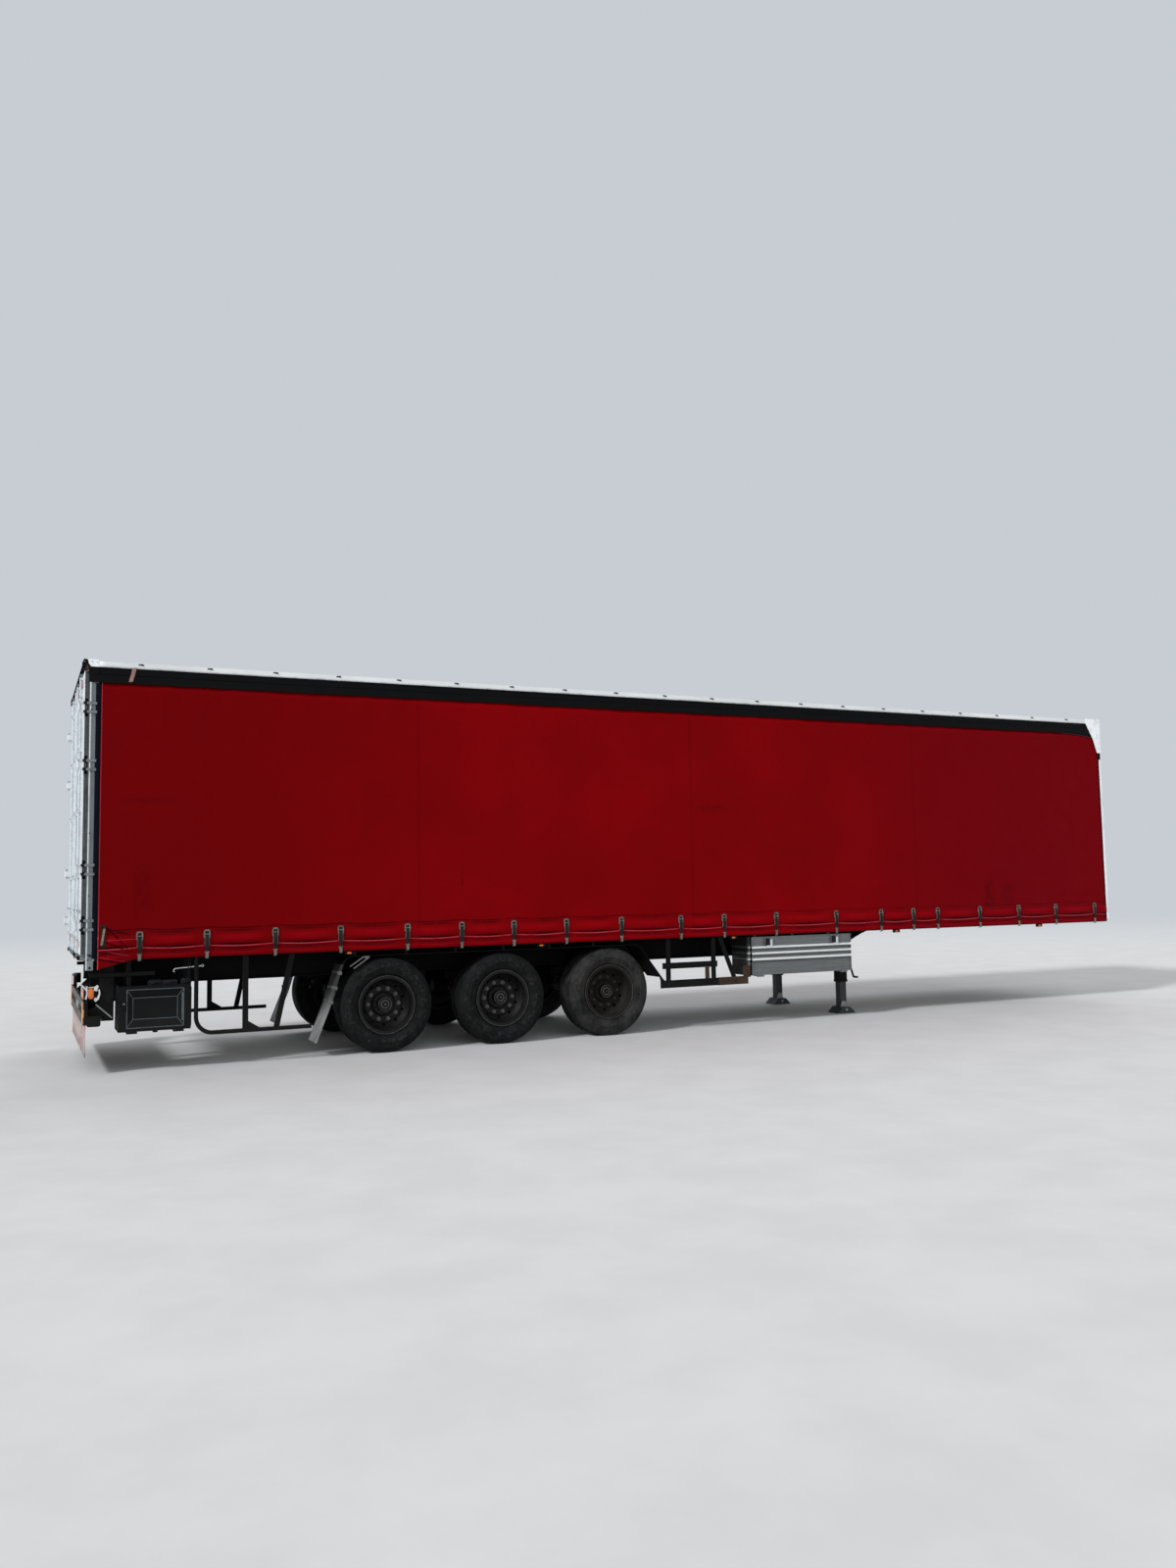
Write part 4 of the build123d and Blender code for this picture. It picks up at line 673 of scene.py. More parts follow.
def curtain_out(place, z, sagged):
    """How far the cloth stands out from its middle plane."""
    free = max(0.0, span_share(place) - 0.12) / 0.88
    # Broad waves all over, the pull of the buckles at the lower edge and small gathers at the rail
    out = 0.0035 * noise.noise(Vector((place * 0.8, z * 0.55, 3.1)))
    high = max(0.0, min(1.0, (z - 1.4) / 0.5))
    out += high * 0.0045 * noise.noise(Vector((place * 1.7, z * 0.35, 7.7)))
    out += 0.003 * (free - 0.5) * math.exp(-max(0.0, z - 1.38) / 0.28)
    out += 0.0016 * math.sin(place * 2 * math.pi / 0.33) * math.exp(-(3.77 - z) / 0.35)
    if z < 1.4:
        h = z + 0.013 * free + 0.004 * noise.noise(Vector((place * 3.0, 0.0, 11.0)))
        fold = 0.015 * bell(h, 1.262, 0.068) + 0.013 * bell(h, 1.118, 0.036)
        fold -= 0.0045 * bell(h, 1.352, 0.022) + 0.006 * bell(h, 1.203, 0.018) + 0.0045 * bell(h, 1.16, 0.02)
        out = min(out + fold * (0.15 + 0.85 * free), 0.0012 + 0.0158 * free)
    if sagged and place < 0.95 and z < 1.5:
        crease = math.sin((z - 1.0) * 55 + (place - 0.15) * 9) * bell(place, 0.25, 0.55) * bell(z, 1.12, 0.36)
        out += 0.003 * crease * (0.3 + 0.7 * free)
        for (d0, z0), (d1, z1) in CREASES:
            along = ((place - d0) * (d1 - d0) + (z - z0) * (z1 - z0)) / ((d1 - d0) ** 2 + (z1 - z0) ** 2)
            along = max(0.0, min(1.0, along))
            gap = math.hypot(place - d0 - along * (d1 - d0), z - z0 - along * (z1 - z0))
            out += 0.0035 * bell(gap, 0.03, 0.022) - 0.0045 * bell(gap, 0.0, 0.016)
        if z < 1.43 and min(abs(place - knot) for knot in (0.202, BUCKLES[0])) < 0.045:
            out = min(out, 0.0012)
    return max(-0.0055, min(0.0165, out))


def curtain(name, side):
    """Stretched curtain with the folds of its lower edge; the right one's rear corner hangs lower."""
    columns = [CURTAIN_START + 0.01 * i for i in range(48)] + [0.63 + 12.95 * i / 290 for i in range(291)]
    lines = []
    for place in columns:
        hem = HEM - (0.09 * (max(0.0, 0.5 - place) / 0.35) ** 1.15 if side < 0 else 0.0)
        heights = [hem + (POCKET_TOP - hem) * (i / 58) for i in range(59)]
        heights += [POCKET_TOP + 2.3497 * i / 34 for i in range(1, 35)]
        lines.append([(place, CURTAIN_Y + curtain_out(place, z, side < 0), z) for z in heights])
    shape = Shape(side)
    shape.sheet(lines)
    obj = piece(shape, f"curtain_{name}_sheet", f"curtain_red_{name}", 0, 60,
                replaces=f"curtain_{name}")
    free = obj.data.attributes.new("free", "FLOAT", "POINT")
    free.data.foreach_set("value", [span_share(place) for place in columns for _ in lines[0]])
    thicken(obj, 0.0014)


for name, side in reversed(NAMED_SIDES):
    curtain(name, side)


def roof_sheet():
    """Sheet stretched over the bows with a slight sag between them."""
    stops = (ROOF_START, *BOWS, ROOF_END)
    columns = [stops[0]]
    for low, high in zip(stops, stops[1:]):
        columns += [low + (high - low) * i / 6 for i in range(1, 7)]
    lines = []
    for place in columns:
        sag = 0.01 * min(1.0, min(abs(place - bow) for bow in BOWS) / 0.3) ** 1.5
        skirt = ROOF_HALF + 0.0012 * math.sin(place * 9.6)
        line = [(place, -skirt, z) for z in (3.9203, 3.935, 3.955)]
        for y in (ROOF_HALF * (i / 24 - 1) for i in range(49)):
            share = abs(y) / ROOF_HALF
            wave = 0.0012 * noise.noise(Vector((place * 2, y * 3, 0)))
            line.append((place, y, 3.9985 - 0.0215 * share ** 2 - sag * (1 - share ** 6) + wave))
        lines.append(line + [(place, skirt, z) for z in (3.955, 3.935, 3.9203)])
    shape = Shape()
    shape.sheet(lines)
    obj = piece(shape, "roof_sheet_cloth", "roof_tarpaulin", 0, 50, replaces="roof_sheet")
    thicken(obj, 0.0016)


roof_sheet()


def buckle(shape, place):
    """Pressed frame with a roller, over-centre lever, webbing and hook; kinds: steel, black, webbing."""
    face = CURTAIN_FACE + 0.0006
    shape.slabs(((-0.031, -0.019, 0, 0.007, 1.252, 1.345), (0.019, 0.031, 0, 0.007, 1.252, 1.345),
                 (-0.031, 0.031, 0, 0.007, 1.331, 1.345), (-0.031, 0.031, 0, 0.007, 1.252, 1.264),
                 (-0.023, -0.019, 0.002, 0.0135, 1.196, 1.28), (0.019, 0.023, 0.002, 0.0135, 1.196, 1.28),
                 (-0.021, 0.021, 0.002, 0.0095, 1.118, 1.13)), 0, place, face)
    shape.slabs(((-0.02, 0.02, 0, 0.0035, 1.262, 1.333),), 1, place, face)
    shape.slabs(((-0.0175, 0.0175, 0.003, 0.0055, 1.108, 1.212),), 2, place, face)
    for half, out, z, radius in ((0.034, 0.008, 1.3, 0.0052), (0.027, 0.0085, 1.208, 0.0045)):
        shape.rod([(place - half, face + out, z), (place + half, face + out, z)], radius, 0, 10)
    shape.rivets([(place + dx, face + 0.0068, 1.338) for dx in (-0.025, 0.025)], OUT, 0.0042)
    lever = ((0.02, 0.006, 1.292), (0.02, 0.0125, 1.27), (0.02, 0.0158, 1.235), (0.02, 0.0165, 1.2),
             (0.016, 0.015, 1.168))
    shape.loft([strip(place, half, face + out, 0.0045, z) for half, out, z in lever], 1)
    # Hook that turns under the rave
    bend = ((0.0085, 1.128), (0.0085, 1.082), (0.007, 1.066), (0.001, 1.0625), (-0.012, 1.0625), (-0.02, 1.066))
    rings = []
    for i, (out, z) in enumerate(bend):
        before, after = bend[max(i - 1, 0)], bend[min(i + 1, len(bend) - 1)]
        off = Vector((after[1] - before[1], before[0] - after[0])).normalized() * 0.0016
        rings.append([(place + dx, face + out + by * off.x, z + by * off.y)
                      for dx, by in ((-0.015, 1), (0.015, 1), (0.015, -1), (-0.015, -1))])
    shape.loft(rings)


buckles = Shape()
for buckles.side in SIDES:
    for place in BUCKLES:
        buckle(buckles, place)
piece(buckles, "curtain_buckles_detail", "buckle_dark lever_black webbing_dark", 0.0009, 40,
      replaces="curtain_buckles")


# Tyres
def tyre(number, name, side):
    """Worn ribbed road tyre in the place of its solid."""
    # columns: place across, radius, share of the zigzag
    outer = [(w, r, 0) for w, r in (
        (0.1455, 0.286), (0.1455, 0.3095), (0.15, 0.317), (0.16, 0.324), (0.167, 0.327), (0.169, 0.332),
        (0.17, 0.339), (0.1795, 0.355), (0.185, 0.37), (0.189, 0.385), (0.1905, 0.39), (0.1925, 0.3925),
        (0.1925, 0.399), (0.1905, 0.4015), (0.19, 0.415), (0.1875, 0.43), (0.1835, 0.445), (0.1825, 0.448),
        (0.179, 0.451), (0.174, 0.462), (0.168, 0.472), (0.164, 0.48), (0.159, 0.488), (0.15, 0.493),
        (0.135, 0.4945))]
    for groove in (0.101, 0.034):
        outer += [(groove + 0.0075, 0.4972 - groove * 0.012, 1), (groove + 0.0055, 0.485, 1),
                  (groove - 0.0055, 0.485, 1), (groove - 0.0075, 0.4974 - groove * 0.008, 1)]
    inner = ((-0.118, 0.286, 0), (-0.165, 0.392, 0), (-0.14, 0.46, 0), (0.14, 0.46, 0), (0.165, 0.392, 0),
             (0.118, 0.286, 0))
    profile = (*outer, (0.0, TYRE_R, 0), *((-w, r, zigzag) for w, r, zigzag in reversed(outer)), *inner)
    centre = Vector((at(AXLES[number - 1]), side * WHEEL_Y, TYRE_R))
    rings = []
    for k, turn in enumerate(turns(144)):
        ring = []
        for w, r, zigzag in profile:
            notch = 0.0028 if 0.15 < abs(w) < 0.17 and r > 0.478 and k % 3 == 0 else 0.0
            wear = 0.0008 * noise.noise(Vector((math.cos(turn) * 3, math.sin(turn) * 3, w * 20 + number)))
            r = min(TYRE_R, r - notch + (wear if 0.45 < r < 0.497 else 0.0))
            across = w + 0.0022 * (1 if k % 4 < 2 else -1) * zigzag
            ring.append(centre + Vector((r * math.cos(turn), across, r * math.sin(turn))))
        rings.append(ring)
    shape = Shape()
    shape.skin(rings, 0, False)
    piece(shape, f"tyre_{number}_{name}_treaded", "tyre_rubber", 0, 38, f"wheel_{number}_{name}",
          f"tyre_{number}_{name}")


for wheel in WHEELS:
    tyre(*wheel)

# Ends of the curtains
edge_strips = Shape()
for edge_strips.side in SIDES:
    for outline in (((0.1226, 1.2452), (0.1226, 1.2626), (0.0985, 1.2626), (0.0985, 1.264), (0.124, 1.2645),
                     (0.145, 1.26), (0.1488, 1.256), (0.1488, 1.2452)),
                    ((13.5812, 1.2462), (13.5812, 1.255), (13.5835, 1.258), (13.588, 1.258), (13.5896, 1.256),
                     (13.5896, 1.2462))):
        edge_strips.prism(outline, 1.1, 3.765)
piece(edge_strips, "curtain_edge_strips", "strip_navy", 0.0008)

tensioners = Shape()
base = 1.2562
for tensioners.side in SIDES:
    tensioners.slab((0.176, 0.224), (base, base + 0.003), (1.2, 1.418))
    for place, z in ((0.178, 1.235), (0.201, 1.235), (0.196, 1.35), (0.219, 1.35)):
        tensioners.slab((place, place + 0.003), (base, base + 0.0115), (z, z + 0.05))
    tensioners.rod([(0.19, base + 0.0075, 1.39), (0.226, base + 0.0075, 1.39)], 0.0065, 1)
    lever = ((0.21, 0.008, 1.398), (0.207, 0.012, 1.37), (0.199, 0.015, 1.31), (0.191, 0.016, 1.26),
             (0.186, 0.0135, 1.225))
    tensioners.loft([strip(place, 0.01, base + out, 0.0045, z) for place, out, z in lever], 2)
    tensioners.rod([(0.216, base + 0.004, 1.388), (0.33, 1.2582, 1.35), (0.44, 1.259, 1.318)], 0.0028, 1, 8)
    tensioners.bolts([(0.2, base + 0.003, z) for z in (1.208, 1.41)], OUT, 0.007, 0.005)
piece(tensioners, "curtain_tensioners", "lever_black rail_black tan_steel", 0.0008)

hook = Shape(-1)
bend = ((0.447, 1.2697, 3.925), (0.443, 1.273, 3.905), (0.434, 1.2742, 3.86), (0.421, 1.2745, 3.815),
        (0.416, 1.2745, 3.795), (0.413, 1.273, 3.784), (0.415, 1.27, 3.787))
hook.loft([strip(place, 0.019, out, 0.003, z, 0.006) for place, out, z in bend])
hook.rivets([(0.442, 1.2738, 3.9)], OUT)
piece(hook, "cant_rail_hook", "hook_pink", 0.0008)

clips = Shape()
for clips.side in SIDES:
    for place in BOWS:
        clips.slabs(((-0.026, 0.02, 1.2692, 1.2722, 3.9575, 3.9705),
                     (0.004, 0.024, 1.27, 1.2738, 3.9545, 3.964)), 0, place)
    clips.rivets([(place - 0.012, 1.2722, 3.964) for place in BOWS], OUT, 0.0045, 1)
piece(clips, "roof_strip_clips", "lever_black zinc_steel", 0.0007)

# Rear frame and front corners
corner_caps = Shape()
for corner_caps.side in SIDES:
    corner_caps.plate(((-0.03, 3.888), (-0.004, 3.888), (0.018, 3.95), (0.014, TOP), (-0.014, TOP),
                       (-0.03, 3.95)), (1.256, 1.2715), 2)
    corner_caps.plate(((-0.004, 3.888), (0.02, 3.888), (0.03, 3.912), (0.018, 3.95)), (1.256, 1.2715))
    corner_caps.slab((-0.012, 0.046), (1.23, 1.256), (3.955, TOP), 2)
    corner_caps.rivets([(-0.006, 1.2715, 3.965)], OUT, 0.005, 1)
piece(corner_caps, "rear_corner_caps", "corner_brown zinc_steel rail_black", 0.0012)

rail_ends = Shape()
for rail_ends.side in SIDES:
    rail_ends.slabs(((0.036, 0.1222, 1.2622, 1.2655, 3.77, 3.845),
                     (0.03, 0.1222, 1.2622, 1.2645, 3.845, 3.9195)))
    rail_ends.plate(((0.022, TOP), (0.03, 3.948), (0.056, 3.9215), (0.1205, 3.9215), (0.1205, TOP)),
                    (1.2625, 1.2705), 1)
    rail_ends.slab((0.047, 0.1205), (1.19, 1.263), (3.9855, TOP), 1)
    rail_ends.rivets([(place, 1.2705, 3.968) for place in (0.06, 0.105)], OUT, 0.005, 2)
piece(rail_ends, "rear_rail_ends", "rail_black cap_white zinc_steel", 0.001)

valance = Shape()
lower = ((12.888, 3.7675), (13.154, 3.755), (13.422, 3.727), (13.475, 3.722))
for valance.side in SIDES:
    valance.plate(((12.7, 3.7705), *lower, (13.475, 3.7725), (12.7, 3.7735)), (1.2566, 1.259))
    valance.plate((*lower, *((place, z + 0.004) for place, z in reversed(lower))), (1.259, 1.2596), 1)
piece(valance, "curtain_valance", "rail_black leg_steel", 0.0006)

mouldings = Shape()
for mouldings.side in SIDES:
    mouldings.prism(((13.5905, 1.14), (13.638, 1.14), (13.644, 1.146), (13.644, 1.244), (13.64, 1.254),
                     (13.63, 1.2596), (13.5905, 1.2596)), 1.11, 3.4985)
    mouldings.prism(((13.5905, 1.13), (13.64, 1.13), (13.65, 1.14), (13.65, 1.248), (13.644, 1.266),
                     (13.626, 1.275), (13.5905, 1.275)), 3.5, 3.992)
    mouldings.slab((13.585, 13.62), (1.2597, 1.2612), (3.405, 3.4985), 2)
    mouldings.rivets([(13.61, 1.2596, 1.22 + 0.27 * k) for k in range(9)], OUT, 0.0045, 1)
    mouldings.rivets([(13.608, 1.275, 3.56 + 0.11 * k) for k in range(4)], OUT, 0.0045, 1)
piece(mouldings, "front_corner_mouldings", "cap_white zinc_steel rail_black", 0.0012)

header_cap = Shape()
header_cap.plate(((-0.014, 3.94), (-0.01, 3.94), (-0.01, 3.9858), (0.12, 3.9858), (0.12, TOP),
                  (-0.014, TOP)), (-1.189, 1.189))
header_cap.plate(((-0.014, 3.94), (-0.01, 3.94), (-0.01, TOP), (-0.014, TOP)), (-1.255, 1.255))
piece(header_cap, "rear_header_strip", "strip_navy", 0.0008)

# Doors: seals, reflective tape and fasteners
for name, side in NAMED_SIDES:
    seal = Shape(side)
    low, high = DOOR_HEIGHTS
    seal.slabs(((0.0402, 0.0462, 1.19, 1.2485, low, high), (0.0402, 0.0462, 0.0085, 1.19, 3.8525, high),
                (0.0402, 0.0462, 0.0085, 1.19, low, 1.19), (0.0402, 0.0462, 0.0085, 0.034, 1.19, 3.8525),
                (0.002, 0.005, 1.2512, 1.2524, low, high), (0.015, 0.0185, 1.2512, 1.2526, low, high),
                (0.03, 0.033, 1.2536, 1.2544, low, high)))
    seal.slabs(((0.03, 0.0462, 1.2502, 1.2536, low, high), (0.002, 0.03, 1.2502, 1.2512, low, high)), 1)
    for z in HINGES:
        seal.slabs(((0.001, 0.03, 1.2502, 1.253, z - 0.088, z + 0.088),
                    (0.01, 0.029, 1.253, 1.2546, z + 0.048, z + 0.084)))
        seal.slab((0.006, 0.026), (1.253, 1.2548), (z - 0.022, z + 0.022), 1)
    piece(seal, f"door_seal_{name}", "rubber_black seal_grey", 0.0006, body=f"door_{name}")
    tape = Shape(side)
    for outs, heights in (((0.06, 1.196), (1.212, 1.262)), ((1.146, 1.196), (1.27, 3.82)),
                          ((0.06, 1.14), (3.77, 3.82))):
        tape.slab((-0.0012, -0.0002), outs, heights)
    piece(tape, f"door_tape_{name}", "tape_red_white", body=f"door_{name}", flat=True)
    fasteners = Shape(side)
    fasteners.rivets([(-0.008, y, z + dz) for z in HINGES for y in (1.08, 1.125, 1.17, 1.215)
                      for dz in (-0.016, 0.016)], BACK, 0.0065)
    for y in RODS:
        fasteners.bolts([(-0.03, y + dy, z) for z in (1.3, 1.9, 2.55, 3.15, 3.7) for dy in (-0.021, 0.021)],
                        BACK, 0.0055, 0.004)
        fasteners.rod([(-0.024, y + 0.23, 1.56), (-0.024, y + 0.33, 1.56)], 0.0095, 1)
    piece(fasteners, f"door_fasteners_{name}", "zinc_steel lever_black", 0, 40, f"door_{name}")

posts = Shape()
for posts.side in SIDES:
    posts.bolts([(0.0625, 1.262, z) for z in (1.09, 1.14, 1.7, 2.3, 2.9, 3.5, 3.86)], OUT, 0.0055, 0.004)
    posts.slab((0.0465, 0.0565), (1.2622, 1.2636), (0.994, 3.768), 1)
    posts.slabs(((0.047, 0.113, 1.2575, 1.2621, 0.99, 1.0835), (0.047, 0.051, 1.19, 1.26, 0.99, 1.0825),
                 (0.109, 0.113, 1.19, 1.26, 0.99, 1.0825), (0.047, 0.113, 1.19, 1.26, 1.0785, 1.0825)), 2)
    for z in (1.014, 1.13):
        posts.lathe((0.083, 1.2619, z), OUT, ((0, 0.0125), (0.0012, 0.0125), (0.0016, 0.0105)), 0, 16)
piece(posts, "rear_post_trims", "lever_black post_edge post_grey", 0.0006)

buffers = Shape()
for buffers.side in SIDES:
    for y in (0.3, 1.08):
        buffers.pad((0.0005, y, 1.104), BACK, (0.075, 0.02), 0.008, ((0, 0), (0.018, 0.001), (0.024, 0.006)))
piece(buffers, "rear_buffers", "rubber_black", 0, 40)

# Lamps in place of their plain solids; kinds: black, amber, red, clear, yellow plate, zinc, orange border
lamps = Shape()
for lamps.side in SIDES:
    # columns: centre, way, half size, corner radius, insets at rises, kind
    for row in (
            ((0.0617, 1.056, 0.765), BACK, (0.196, 0.057), 0.014, ((0, 0), (0.022, 0), (0.026, 0.003)), 0),
            ((0.0302, 1.18, 0.5875), BACK, (0.07, 0.104), 0.005, ((0, 0), (0.001, 0)), 6),
            ((0.0292, 1.18, 0.5875), BACK, (0.058, 0.092), 0.003, ((0, 0), (0.0006, 0)), 4),
            ((0.0455, 1.2502, 0.59), OUT, (0.0185, 0.1), 0.004, ((0, 0), (0.0016, 0)), 6),
            ((0.0455, 1.2518, 0.59), OUT, (0.015, 0.092), 0.003, ((0, 0), (0.0012, 0.0004)), 4),
            ((0.1003, 1.256, 0.771), OUT, (0.029, 0.056), 0.026, ((0, 0), (0.006, 0), (0.007, 0.003)), 0),
            ((0.1003, 1.2625, 0.771), OUT, (0.0245, 0.051), 0.022,
             ((0, 0), (0.005, 0), (0.0092, 0.006), (0.0112, 0.014)), 1),
            ((0.0468, 1.06, 3.928), BACK, (0.055, 0.017), 0.01, ((0, 0), (0.008, 0), (0.013, 0.005)), 2),
            ((13.6502, 1.19, 3.93), FRONT, (0.045, 0.017), 0.01, ((0, 0), (0.006, 0), (0.01, 0.005)), 3)):
        lamps.pad(*row)
    for y, half, kind in ((0.908, 0.042, 3), (0.999, 0.044, 2), (1.092, 0.044, 2), (1.193, 0.052, 1)):
        lamps.pad((0.0362, y, 0.765), BACK, (half, 0.047), 0.01, ((0, 0), (0.0035, 0.0005), (0.0055, 0.004)),
                  kind)
    lamps.bolts([(0.0357, y, z) for y in (0.953, 1.0455, 1.1405) for z in (0.716, 0.814)], BACK, 0.004, 0.003,
                5)
    lamps.slab((0.0724, 0.1283), (1.221, 1.256), (0.716, 0.826))
    for place in (2.6, 4.78, 7.31, 9.8, 12.3):
        lamps.slab((place - 0.055, place + 0.055), (1.224, 1.237), (1.038, 1.0748))
        lamps.pad((place, 1.237, 1.056), OUT, (0.048, 0.0165), 0.01, ((0, 0), (0.008, 0.0005), (0.011, 0.005)))
        lamps.pad((place - 0.006, 1.2455, 1.057), OUT, (0.022, 0.0105), 0.008,
                  ((0, 0), (0.004, 0.0005), (0.007, 0.004)), 1)
piece(lamps, "lamp_set", "plastic_black lens_amber lens_red lens_clear marker_yellow zinc_steel marker_orange",
      0.0005, 40, replaces="lamps")

# Bent and torn pieces of the right side lamp's white housing
housing = Shape(-1)
for out, outline in (
        (1.2632, ((-0.006, 0.866), (0.006, 0.874), (0.071, 0.806), (0.062, 0.794))),
        (1.265, ((0.046, 0.724), (0.06, 0.716), (0.071, 0.76), (0.068, 0.842), (0.055, 0.846), (0.058, 0.768))),
        (1.264, ((0.124, 0.712), (0.142, 0.692), (0.17, 0.716), (0.183, 0.77), (0.176, 0.812), (0.166, 0.806),
                  (0.168, 0.764), (0.152, 0.728), (0.136, 0.734))),
        (1.2626, ((0.126, 0.8), (0.15, 0.792), (0.168, 0.838), (0.154, 0.852), (0.128, 0.832)))):
    housing.plate(outline, (out, out + 0.003))
housing.slabs(((0.07, 0.13, 1.256, 1.2632, 0.826, 0.834), (0.12, 0.172, 1.23, 1.2626, 0.795, 0.8)))
piece(housing, "side_lamp_housing", "casing_white", 0.0008)
lamp_back = Shape(-1)
lamp_back.lathe((0.158, 1.235, 0.765), OUT, ((0, 0.028), (0.012, 0.03), (0.02, 0.026), (0.022, 0.012)), 0, 20)
piece(lamp_back, "side_lamp_back", "plastic_black", 0, 40)

blank = Shape()
blank.pad((0.0402, 0, 0.5875), BACK, (0.272, 0.066), 0.01, ((0, 0), (0.0012, 0)))
blank.pad((0.039, 0, 0.5875), BACK, (0.26, 0.055), 0.008, ((0, 0), (0.001, 0.0004)), 1)
blank.bolts([(0.038, y, 0.5875) for y in (-0.2, 0.2)], BACK, 0.005, 0.003, 2)
for blank.side in SIDES:
    blank.bolts([(0.03, y, z) for y in (0.42, 0.7, 0.98) for z in (0.5, 0.674)], BACK, 0.009, 0.006, 2)
piece(blank, "blank_rear_plate", "plastic_black plate_grey zinc_steel", 0.0004)

# Rear sides: braces, the hook rod and the straps above the toolbox
braces = Shape()
for braces.side in SIDES:
    braces.plate(((0.146, 0.652), (0.154, 0.664), (0.299, 0.53), (0.291, 0.518)), (1.1455, 1.151), 1)
    braces.bolts([(place, 1.1455, z) for place, z in ((0.205, 0.64), (0.292, 0.7), (0.205, 0.78), (0.292, 0.86),
                                                      (0.205, 1.05), (0.292, 1.05))], OUT)
    braces.slabs(((0.08, 0.68, 1.196, 1.201, 0.918, 0.956), (0.08, 0.68, 1.1455, 1.196, 0.951, 0.956),
                  (0.428, 0.462, 1.17, 1.176, 0.956, 1.0878)))
    braces.rod([(0.192, 1.12, 0.508), (0.192, 1.158, 0.508)], 0.011, 1)
piece(braces, "rear_side_braces", "frame_black zinc_steel", 0.0012)

hook_rod = Shape(-1)
hook_rod.rod([(0.86, 1.222, 0.972), (1.112, 1.222, 0.989)], 0.0062)
hook_rod.hoop((1.124, 1.222, 0.99), IN, ring_profile(0, 0.01, 0.004), 0, 20)
hook_rod.rod([(0.866, 1.222, 0.97), (0.852, 1.222, 0.96), (0.85, 1.222, 0.946), (0.86, 1.222, 0.938)], 0.0055)
for place in (0.99, 1.01):
    hook_rod.slab((place - 0.003, place + 0.003), (1.214, 1.23), (0.972, 1.0878), 1)
piece(hook_rod, "hook_rod", "bright_steel frame_black", 0.0005)

straps = Shape(-1)
for place, y, length, r in ((0.63, 1.15, 0.11, 0.026), (0.765, 1.165, 0.115, 0.022),
                            (0.935, 1.15, 0.08, 0.026)):
    straps.lathe((place, y, 0.8205 + r), FRONT, ((0, r * 0.9), (0.004, r), (length * 0.45, r * 0.96),
                 (length * 0.55, r), (length - 0.004, r), (length, r * 0.9)), 0, 20)
    straps.slab((place - 0.012, place + length + 0.012), (y + 0.012, y + 0.017), (0.8205, 0.862), 1)
    straps.rod([(place + 0.01, y + 0.02, 0.824), (place + 0.03, y + 0.034, 0.834),
                (place + 0.06, y + 0.03, 0.846)], 0.005, 1)
piece(straps, "lashing_straps", "webbing_dark lever_black", 0.001, 40)

# Toolbox lid: lips of the stepped recess, ribs, the middle lug and the latch; the lips, the mitre bars and one
# upright bar are pale worn plastic that is also a painted highlight along the edges
lid = Shape(-1)
for d0, d1, z0, z1, face in ((0.478, 0.892, 0.499, 0.502, 1.2262), (0.478, 0.892, 0.703, 0.706, 1.2262),
                             (0.478, 0.481, 0.499, 0.706, 1.2262), (0.889, 0.892, 0.499, 0.706, 1.2262),
                             (0.421, 0.949, 0.418, 0.422, 1.246), (0.421, 0.949, 0.783, 0.787, 1.246),
                             (0.421, 0.425, 0.418, 0.787, 1.246), (0.945, 0.949, 0.418, 0.787, 1.246)):
    lid.slab((d0 - 0.0015, d1 + 0.0015), (face - 0.0005, face + 0.003), (z0 - 0.0015, z1 + 0.0015), 1)
# Mitre bars: painted highlights on the corners of the recess
for d0, d1 in ((0.421, 0.478), (0.949, 0.892)):
    for z0, z1 in ((0.785, 0.706), (0.42, 0.499)):
        lid.rod([(d0, 1.247, z0), (d1, 1.2272, z1)], 0.0034, 1, 8)
# Upright bar: painted highlight on the right edge of the frame
lid.slab((0.9275, 0.9425), (1.2458, 1.2488), (0.47, 0.74), 1)
for place in (0.372, 0.998):
    for z in (0.45 + 0.045 * k for k in range(7)):
        lid.slab((place - 0.01, place + 0.01), (1.2458, 1.248), (z, z + 0.012))
lid.slab((0.662, 0.708), (1.215, 1.24), (0.368, 0.386))
lid.pad((0.396, 1.255, 0.64), OUT, (0.017, 0.04), 0.006, ((0, 0), (0.003, 0), (0.005, 0.003)))
lid.lathe((0.396, 1.2598, 0.655), OUT, ((0, 0.007), (0.0015, 0.007)), 2, 14)
piece(lid, "toolbox_lid_details", "plastic_black plastic_worn zinc_steel", 0.0006,
      body="toolbox_front")

# Locker: latches, rivets, folded ends, the rusty bracket and the sleeve of the rack
door = Shape(-1)
LATCHES = (7.81, 8.8)
for place in LATCHES:
    door.pad((place, 1.2502, 0.984), OUT, (0.062, 0.056), 0.006, ((0, 0), (0.0022, 0.0006)))
    door.slabs(((-0.052, 0.014, 1.2524, 1.2534, 0.936, 1.034),
                (-0.042, 0.004, 1.2534, 1.2574, 0.952, 1.022)), 1, place)
    door.slabs(((0.018, 0.048, 1.2524, 1.2578, 0.936, 1.018),
                (-0.034, 0.018, 1.2524, 1.256, 0.93, 0.945)), 2, place)
    corners = [(place + dx, 1.2524, 0.984 + dz) for dx in (-0.056, 0.056) for dz in (-0.048, 0.048)]
    door.rivets(corners, OUT, 0.004)
rows = [7.6 + 0.1 * k for k in range(15)]
door.rivets([(place, 1.236, 1.04) for place in rows if min(abs(place - latch) for latch in LATCHES) > 0.06],
            OUT, 0.005)
door.rivets([(place, 1.236, 0.604) for place in rows], OUT, 0.005)
door.slabs(((7.56, 7.5645, 1.2105, 1.2512, 0.591, 1.0515), (9.0455, 9.05, 1.2105, 1.2512, 0.591, 1.0515),
            (7.5645, 9.0455, 1.2362, 1.24, 0.5905, 0.596)))
piece(door, "locker_door_details", "locker_aluminium lever_black rod_pale", 0.0006,
      body="locker_front")
ends = Shape(-1)
